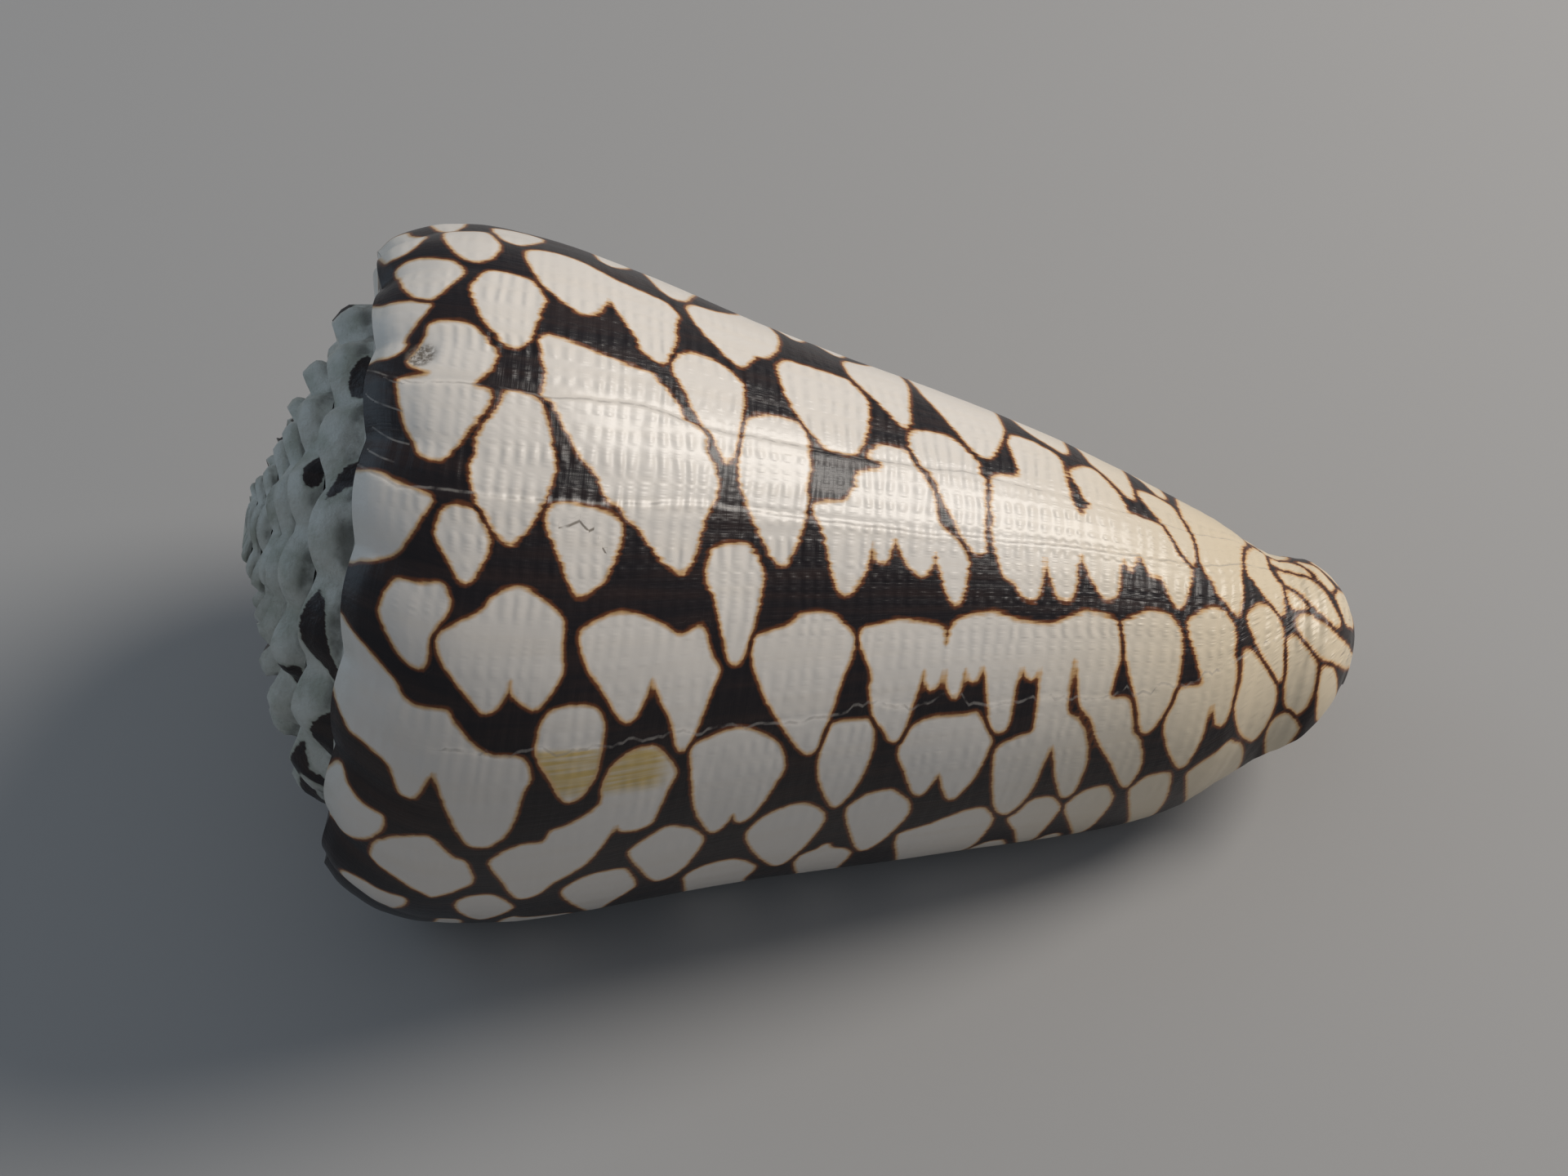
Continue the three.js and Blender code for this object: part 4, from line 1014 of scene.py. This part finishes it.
def add_ramp(surface, turn, crest_patch=None):
    """Ramp between two crests. On the last turn it starts as white and as smooth as the shoulder."""
    turn = turn[None, :]
    rise = np.linspace(0, 1, RAMP_ROWS)[:, None]
    plain, radius = ramp_points(turn, rise)
    points = worn(plain, turn)
    inward = (rise - 1) * (crest_radius(turn) - crest_radius(turn - 1) * RAMP_INNER_GAIN)
    patch = blotch_patch(inward / HUNDREDTH, LIP_ANGLE_DEG + 360 * turn, radius)
    worn_white = 1.0
    if crest_patch is not None:
        points[-1] = plain[-1]
        worn_white = blend(WORN_AT_CREST, 1, smooth_step(0, WORN_FADE, -inward))
        patch = np.minimum(patch, crest_patch[None, :] - CREST_PATCH_SPREAD * inward)
    # The foot of the ramp, at the suture, gets painted shade.
    surface.sheet(
        points, grid_places(inward, turn, rise - 1), flipped=True, patch_a=patch, spire=worn_white,
        ragged=SPIRE_RAGGED, groove=1 - smooth_step(*SUTURE_SHADE_RISE, rise), **PLAIN,
    )
    return points


def add_spire_wall(surface, turn):
    share = np.linspace(0, WALL_LAST_SHARE, WALL_ROWS)[:, None]
    turn = turn[None, :]
    relief = uneven_knobs(turn, share) + wall_bulge(turn, share)
    points = worn(outer_point(turn, share, relief), turn)
    patch = blotch_patch(share * 100, LIP_ANGLE_DEG + 360 * turn, crest_radius(turn))
    # The lower part of the wall, toward the suture, gets painted shade.
    surface.sheet(
        points, grid_places(share * BODY_LENGTH, turn, share), flipped=True, patch_a=patch, spire=1,
        ragged=SPIRE_RAGGED, groove=smooth_step(*SUTURE_SHADE_SHARES, share), **PLAIN,
    )


def spire_turns():
    outer = np.linspace(-OUTER_SPIRE_TURNS, -1, (OUTER_SPIRE_TURNS - 1) * OUTER_SPIRE_STEPS + 1)
    inner_steps = (SPIRE_TURNS - OUTER_SPIRE_TURNS) * INNER_SPIRE_STEPS
    inner = np.linspace(-SPIRE_TURNS, -OUTER_SPIRE_TURNS, inner_steps + 1)[:-1]
    return np.concatenate([inner, outer])


def add_spire(surface, crest_patch):
    last_ramp = add_ramp(surface, last_turns(), crest_patch)
    add_ramp(surface, spire_turns())
    add_spire_wall(surface, spire_turns())
    rim = outer_point(spire_turns()[:INNER_SPIRE_STEPS + 1], 0.0)
    cap = np.stack([np.zeros(rim.shape), rim])
    surface.sheet(cap, np.zeros(cap.shape), flipped=True, patch_a=ALL_WHITE, spire=1, **PLAIN)
    return last_ramp


def hollow_radii(behind, share):
    """Depth of the hollow, its inner and its outer radius, at an angle behind the lip."""
    turn = -behind / 360
    closing = smooth_step(CANAL_SWEEP_DEG, HOLLOW_SWEEP_DEG, behind)
    wall = blend(WALL_LIP, WALL_BACK, smooth_step(0, WALL_BLEND_DEG, behind))
    depth = depth_at(turn, share)
    start = crest_depth(turn - 1)
    inner_share = (depth - start) / (end_depth(turn - 1) - start)
    inner = body_radius(turn - 1, inner_share) + GLAZE * smooth_step(0, GLAZE_START_DEG, behind)
    near = blend(inner, PILLAR_RADIUS, smooth_step(*PILLAR_SHARES, inner_share))
    far = np.maximum(body_radius(turn, share) - wall, near + OPEN_GAP)
    return depth, near, blend(far, near + CLOSED_GAP, closing ** 3)


def hollow_point(depth, radius, behind, share):
    return polar(depth, radius, (LIP_ANGLE_DEG - behind + growth_lean_deg(share)) * RAD)


def outer_side(behind, share):
    """The side of the hollow that is the inside of the outer wall."""
    depth, _, far = hollow_radii(behind, share)
    return hollow_point(depth, far, behind, share)


def pillar_side(behind, first, last, rise):
    """The side of the hollow that lies on the turn before, with the pillar's tip rounded off."""
    tip_depth = pillar_tip()[0]
    start = crest_depth(-behind / 360)
    tip_share = (tip_depth - start) / (end_depth(-behind / 360) - start)
    share = blend(first, np.minimum(last, tip_share), rise)
    depth, near, _ = hollow_radii(behind, share)
    rounding = np.clip((depth - tip_depth + PILLAR_TIP_ROUND) / PILLAR_TIP_ROUND, 0, 1)
    return hollow_point(depth, near * np.sqrt(1 - 0.99 * rounding ** 2), behind, share)


def pillar_tip():
    return np.array([LENGTH - PILLAR_TIP_LAG, 0.0, 0.0])


def canal_edge(behind):
    """Inner edge of the siphonal end: on the wall where the canal is open, on the pillar behind it."""
    closed = smooth_step(CANAL_CLOSES_DEG, CANAL_SWEEP_DEG, behind)[..., None]
    return blend(outer_side(behind, 1.0), pillar_tip(), closed)


def add_inside(surface, last_ramp):
    behind = (np.linspace(0, 1, INSIDE_COLUMNS) ** INSIDE_CROWDING * HOLLOW_SWEEP_DEG)[None, :]
    rise = np.linspace(0, 1, INSIDE_ROWS)[:, None]
    closing = smooth_step(CANAL_SWEEP_DEG, HOLLOW_SWEEP_DEG, behind)
    shut = smooth_step(CANAL_SWEEP_DEG - CANAL_SHUTS_DEG, CANAL_SWEEP_DEG, behind)
    first = blend(HOLLOW_FIRST_SHARE, HOLLOW_FIRST_CLOSED, closing)
    last = blend(blend(1.0, HOLLOW_LAST_SHUT, shut), HOLLOW_LAST_CLOSED, closing)
    share = blend(first, last, rise)
    outer = outer_side(behind, share)
    inner = pillar_side(behind, first, last, rise)
    goal = np.where(behind[0][:, None] <= CANAL_SWEEP_DEG, canal_edge(behind[0]), inner[-1])
    outer = outer + (goal - outer[-1])[None] * smooth_step(GOAL_FROM_RISE, 1, rise)[:, :, None]
    places = np.stack(np.broadcast_arrays(share * BODY_LENGTH, -behind * INSIDE_TEXTURE_STEP, share), -1)
    values = {"patch_a": ALL_WHITE, "inside": 1, **PLAIN}
    surface.sheet(outer, places, flipped=True, **values)
    surface.sheet(inner, places, **values)
    surface.sheet(np.stack([outer[0], inner[0]]), places[:2], **values)
    corner = np.linspace(inner[0, 0], outer[0, 0], RAMP_ROWS)
    shoulder_face = np.stack([last_ramp[:, -1], corner])
    surface.sheet(shoulder_face, np.zeros(shoulder_face.shape), **values)


def add_lip(surface, edge, patches):
    """Rounded edge between the outside and the inside of the lip."""
    share = body_shares()
    inside_edge = outer_side(0.0, np.maximum(share, HOLLOW_FIRST_SHARE))
    steps = np.linspace(0, 1, LIP_ROWS)[:, None, None]
    bulge = polar(np.zeros_like(share), np.ones_like(share), (angle_deg(0.0, share) + 90) * RAD)
    points = blend(edge[None], inside_edge[None], steps) + bulge[None] * RIM_BULGE * np.sin(np.pi * steps)
    places = np.stack(np.broadcast_arrays(share[None, :] * BODY_LENGTH, steps[:, :, 0], share[None, :]), -1)
    fading = smooth_step(0, 0.5, steps[:, :, 0])
    surface.sheet(points, places, inside=fading, ragged=BODY_RAGGED, **{**PLAIN, **patches})


def add_siphonal_end(surface, edge, patches):
    """Rounded rim of the open canal, and the end behind it that closes in to the pillar."""
    turn = last_turns()
    steps = np.linspace(0, 1, END_ROWS)[:, None, None]
    bulge = np.array([RIM_BULGE, 0, 0]) * np.sin(np.pi * steps)
    points = blend(edge[None], canal_edge(-turn * 360)[None], steps) + bulge
    places = grid_places(BODY_LENGTH + 4 * steps[:, :, 0], turn, 1.0)
    fading = smooth_step(0.1, 0.6, steps[:, :, 0])
    surface.sheet(points, places, flipped=True, inside=fading, ragged=BODY_RAGGED, **{**PLAIN, **patches})


def make_shell():
    surface = SurfaceMesh()
    points, patches = add_last_turn(surface)
    crest_patch = nearest_field([field[0] for field in patches.values()])
    last_ramp = add_spire(surface, crest_patch)
    add_inside(surface, last_ramp)
    add_lip(surface, points[:, -1], {name: field[:, -1][None, :] for name, field in patches.items()})
    add_siphonal_end(surface, points[-1], {name: field[-1][None, :] for name, field in patches.items()})
    return surface.object("cone_shell_surface")


class Nodes:
    """Short calls for a material's node tree."""

    def __init__(self, name):
        self.material = bpy.data.materials.new(name)
        self.material.use_nodes = True
        self.tree = self.material.node_tree
        self.shader = self.tree.nodes["Principled BSDF"]

    def put(self, kind, inputs=None, **settings):
        node = self.tree.nodes.new(kind)
        for key, value in settings.items():
            setattr(node, key, value)
        for key, value in (inputs or {}).items():
            if isinstance(value, bpy.types.NodeSocket):
                self.tree.links.new(value, node.inputs[key])
            else:
                node.inputs[key].default_value = value
        return node

    def value(self, name):
        return self.put("ShaderNodeAttribute", attribute_name=name).outputs["Fac"]

    def place(self):
        return self.put("ShaderNodeAttribute", attribute_name="place").outputs["Vector"]

    def solid_place(self):
        return self.put("ShaderNodeTexCoord").outputs["Object"]

    def part(self, vector, axis):
        return self.put("ShaderNodeSeparateXYZ", {"Vector": vector}).outputs[axis]

    def math(self, operation, a, b=0.0, c=0.0):
        return self.put("ShaderNodeMath", {0: a, 1: b, 2: c}, operation=operation).outputs[0]

    def times(self, a, b):
        return self.math("MULTIPLY", a, b)

    def plus(self, a, b):
        return self.math("ADD", a, b)

    def minus(self, a, b):
        return self.math("SUBTRACT", a, b)

    def lower(self, a, b):
        return self.math("MINIMUM", a, b)

    def higher(self, a, b):
        return self.math("MAXIMUM", a, b)

    def noise(self, vector, stretch=(1, 1, 1), scale=1.0, detail=3.0, rough=0.5):
        mapping = self.put("ShaderNodeMapping", {"Vector": vector, "Scale": stretch})
        inputs = {"Vector": mapping.outputs[0], "Scale": scale, "Detail": detail, "Roughness": rough}
        return self.put("ShaderNodeTexNoise", inputs).outputs["Fac"]

    def band(self, value, low, high):
        inputs = {"Value": value, "From Min": low, "From Max": high}
        return self.put("ShaderNodeMapRange", inputs, interpolation_type="SMOOTHSTEP").outputs["Result"]

    def mix(self, share, a, b):
        a, b = (value if isinstance(value, bpy.types.NodeSocket) else (*value, 1) for value in (a, b))
        return self.put("ShaderNodeMix", {0: share, 6: a, 7: b}, data_type="RGBA").outputs[2]

    def tint(self, base, colour, mask, strength):
        return self.mix(self.times(mask, strength), base, colour)


def shell_white(nodes, place, share):
    """Ivory with faint growth bands, creamier toward the siphonal end."""
    bands = nodes.noise(place, (0.05, 0.8, 0), detail=4)
    cords = nodes.noise(place, (1.4, 0.05, 0))
    white = nodes.tint(WHITE, WARM_WHITE, nodes.band(bands, 0.4, 0.75), 0.3)
    white = nodes.tint(white, GREY_WHITE, nodes.band(cords, 0.5, 0.8), 0.15)
    return nodes.tint(white, CREAM, nodes.band(share, 0.55, 0.88), 0.85)


def shell_dark(nodes, place):
    """Near black, browner in bands, with hair-fine pale scuffs along the growth lines and the cords."""
    bands = nodes.noise(place, (0.1, 0.9, 0))
    scuffs = nodes.noise(place, (0.25, 7, 0), rough=0.7)
    marks = nodes.noise(place, (7, 0.3, 0), rough=0.7)
    dark = nodes.mix(nodes.band(bands, 0.4, 0.7), DARK, DARK_BROWN)
    fine = nodes.higher(nodes.band(scuffs, 0.66, 0.8), nodes.band(marks, 0.66, 0.8))
    return nodes.tint(dark, MARK_GREY_AND_LEDGE_SHADE, fine, 0.09)


def spire_white(nodes):
    """Chalky worn white with grey-green spots, and painted shade that darkens the sutures."""
    chalk = nodes.noise(nodes.solid_place(), scale=450.0, detail=4)
    white = nodes.mix(nodes.band(chalk, 0.4, 0.7), SPIRE_WHITE, SPIRE_GREEN)
    # Painted shade in the sutures, broken up by the chalky noise.
    groove = nodes.times(nodes.value("groove"), nodes.band(chalk, 0.35, 0.6))
    return nodes.tint(white, SUTURE_SHADE_GREY, groove, 0.75)


def patch_edge(nodes):
    """Signed distance to the nearest patch edge, with a thin line kept where two patches meet."""
    a, b, c, d = (nodes.value(name) for name in PATCH_NAMES)
    high_ab = nodes.higher(a, b)
    high_cd = nodes.higher(c, d)
    lows = nodes.higher(nodes.lower(a, b), nodes.lower(c, d))
    first = nodes.higher(high_ab, high_cd)
    second = nodes.higher(nodes.lower(high_ab, high_cd), lows)
    apart = nodes.times(nodes.minus(first, second), LINE_SLOPE)
    return nodes.lower(first, nodes.minus(apart, LINE_BETWEEN))


def uneven_edge(nodes, place, edge):
    """The edge with its small teeth, coarser where the value ragged is high."""
    teeth = nodes.noise(place, (0.4, 2.6, 0), rough=0.6)
    ripple = nodes.noise(place, (1.3, 0.9, 0), detail=2)
    wobble = nodes.times(nodes.minus(teeth, 0.5), nodes.times(nodes.value("ragged"), 0.75))
    wobble = nodes.plus(wobble, nodes.times(nodes.minus(ripple, 0.5), 0.2))
    return nodes.plus(edge, wobble)


def pattern_colour(nodes, place, share, plain_edge):
    """White patches, a thin tan and brown rim, and the dark ground between them."""
    edge = uneven_edge(nodes, place, plain_edge)
    spire = nodes.value("spire")
    white = nodes.mix(spire, shell_white(nodes, place, share), spire_white(nodes))
    stain = nodes.times(nodes.value("stain"), nodes.noise(place, (0.15, 3, 0), detail=2))
    white = nodes.tint(white, OCHRE, stain, 1.7)
    rim_colour = nodes.mix(spire, RIM, DARK_BROWN)
    halo_colour = nodes.mix(spire, HALO, SPIRE_GREEN)
    rim = nodes.mix(nodes.band(edge, -0.34, -0.08), shell_dark(nodes, place), rim_colour)
    halo = nodes.mix(nodes.band(edge, -0.1, 0.04), rim, halo_colour)
    return nodes.mix(nodes.band(edge, -0.02, 0.32), halo, white)


def thin_line(nodes, name, half_width):
    """1 on a line and 0 away from it, from the value that holds the signed distance to it."""
    away = nodes.math("ABSOLUTE", nodes.value(name))
    return nodes.minus(1.0, nodes.band(away, half_width * 0.4, half_width * 1.6))


def with_damage(nodes, colour, place):
    """Ledge lines, pale on the dark ground and painted shadow along the step on the white, pale scratches,
    the fine crack and the worn pit.
    """
    broken = nodes.noise(place, (0.9, 0.9, 0))
    for name, half_width, gaps, line_colour, strength in LINE_LOOKS:
        line = nodes.times(thin_line(nodes, name, half_width), nodes.band(broken, *gaps))
        colour = nodes.tint(colour, line_colour, line, strength)
    grit = nodes.noise(nodes.solid_place(), scale=2600.0, detail=4, rough=0.7)
    worn_place = nodes.band(nodes.value("pit"), 0.1, 1.0)
    return nodes.tint(colour, PIT_GREY, worn_place, nodes.band(grit, 0.3, 0.6))


def fine_relief(nodes, place, edge):
    """Beaded texture of crossing cords and growth lines, in millimetres, fainter on the polished white."""
    spire = nodes.value("spire")
    sway = nodes.times(nodes.noise(place, (0.3, 0.12, 0), detail=2), 9.0)
    cords = nodes.math("SINE", nodes.plus(nodes.times(nodes.part(place, "X"), 6.4), sway))
    ridges = nodes.band(nodes.noise(place, (0.06, 0.75, 0)), 0.35, 0.65)
    beads = nodes.times(nodes.math("MULTIPLY_ADD", cords, 1.8, 1.0), ridges)
    relief = nodes.times(beads, nodes.times(nodes.value("ragged"), BEAD_BUMP))
    relief = nodes.plus(relief, nodes.times(nodes.noise(place, (0.7, 0.08, 0), detail=2), CORD_BUMP))
    growth = nodes.noise(place, (0.12, 3.5, 0), detail=4, rough=0.6)
    hairs = nodes.noise(place, (3.2, 0.2, 0), rough=0.6)
    dark = nodes.minus(1.0, nodes.times(nodes.band(edge, -0.3, 0.3), 0.93))
    fine = nodes.times(nodes.plus(growth, hairs), nodes.times(dark, HAIR_BUMP))
    smooth = nodes.times(nodes.plus(relief, fine), nodes.minus(1.0, spire))
    worn_surface = nodes.noise(nodes.solid_place(), scale=700.0, detail=5, rough=0.6)
    return nodes.plus(smooth, nodes.times(nodes.times(worn_surface, spire), WORN_BUMP))


def shell_material():
    nodes = Nodes("patterned_shell_look")
    place = nodes.place()
    edge = patch_edge(nodes)
    colour = with_damage(nodes, pattern_colour(nodes, place, nodes.part(place, "Z"), edge), place)
    whole = nodes.mix(nodes.value("inside"), colour, INSIDE_WHITE)
    height = fine_relief(nodes, place, edge)
    bump = nodes.put("ShaderNodeBump", {"Height": height, "Strength": 1.0, "Distance": MM})
    rough = nodes.plus(ROUGHNESS, nodes.times(nodes.value("spire"), SPIRE_ROUGHER))
    nodes.tree.links.new(whole, nodes.shader.inputs["Base Color"])
    nodes.tree.links.new(bump.outputs["Normal"], nodes.shader.inputs["Normal"])
    nodes.tree.links.new(rough, nodes.shader.inputs["Roughness"])
    nodes.shader.inputs["Coat Weight"].default_value = 0.12
    nodes.shader.inputs["Coat Roughness"].default_value = 0.2
    nodes.shader.inputs["Specular IOR Level"].default_value = 0.35
    return nodes.material


def photo_camera():
    data = bpy.data.cameras.new("photo_camera")
    data.lens = CAMERA_LENS
    data.sensor_width = 36
    data.clip_start = 0.01
    camera = bpy.data.objects.new("photo_camera", data)
    bpy.context.collection.objects.link(camera)
    yaw = Matrix.Rotation(CAMERA_YAW, 3, "Y")
    pitch = Matrix.Rotation(CAMERA_PITCH, 3, "X")
    roll = Matrix.Rotation(CAMERA_ROLL, 3, "Z")
    turned = rest_rotation() @ (roll @ pitch @ yaw).transposed()
    camera.matrix_world = Matrix.Translation(Vector(laid_down(np.array(CAMERA_PLACE)))) @ turned.to_4x4()
    bpy.context.scene.camera = camera


def area_light(name, place, size, power, colour):
    data = bpy.data.lights.new(name, "AREA")
    data.shape = "DISK"
    data.size = size
    data.energy = power
    data.color = colour
    light = bpy.data.objects.new(name, data)
    bpy.context.collection.objects.link(light)
    direction = Vector(LIGHT_TARGET) - Vector(place)
    light.matrix_world = Matrix.Translation(place) @ direction.to_track_quat("-Z", "Y").to_matrix().to_4x4()


def studio():
    world = bpy.data.worlds.new("soft_room")
    world.use_nodes = True
    background = world.node_tree.nodes["Background"]
    background.inputs["Color"].default_value = (*ROOM_COLOUR, 1)
    background.inputs["Strength"].default_value = ROOM_STRENGTH
    bpy.context.scene.world = world
    for light in LIGHTS:
        area_light(*light)
    bpy.context.scene.view_settings.view_transform = "Standard"


def floor_plane():
    bpy.ops.mesh.primitive_plane_add(size=FLOOR_SIZE)
    floor = bpy.context.object
    floor.name = "studio_floor"
    nodes = Nodes("pale_floor")
    nodes.shader.inputs["Base Color"].default_value = (*FLOOR_GREY, 1)
    nodes.shader.inputs["Roughness"].default_value = 0.8
    floor.data.materials.append(nodes.material)


shell = make_shell()
shell.data.materials.append(shell_material())
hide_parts("cone_shell")
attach(shell, "root")
photo_camera()
studio()
floor_plane()
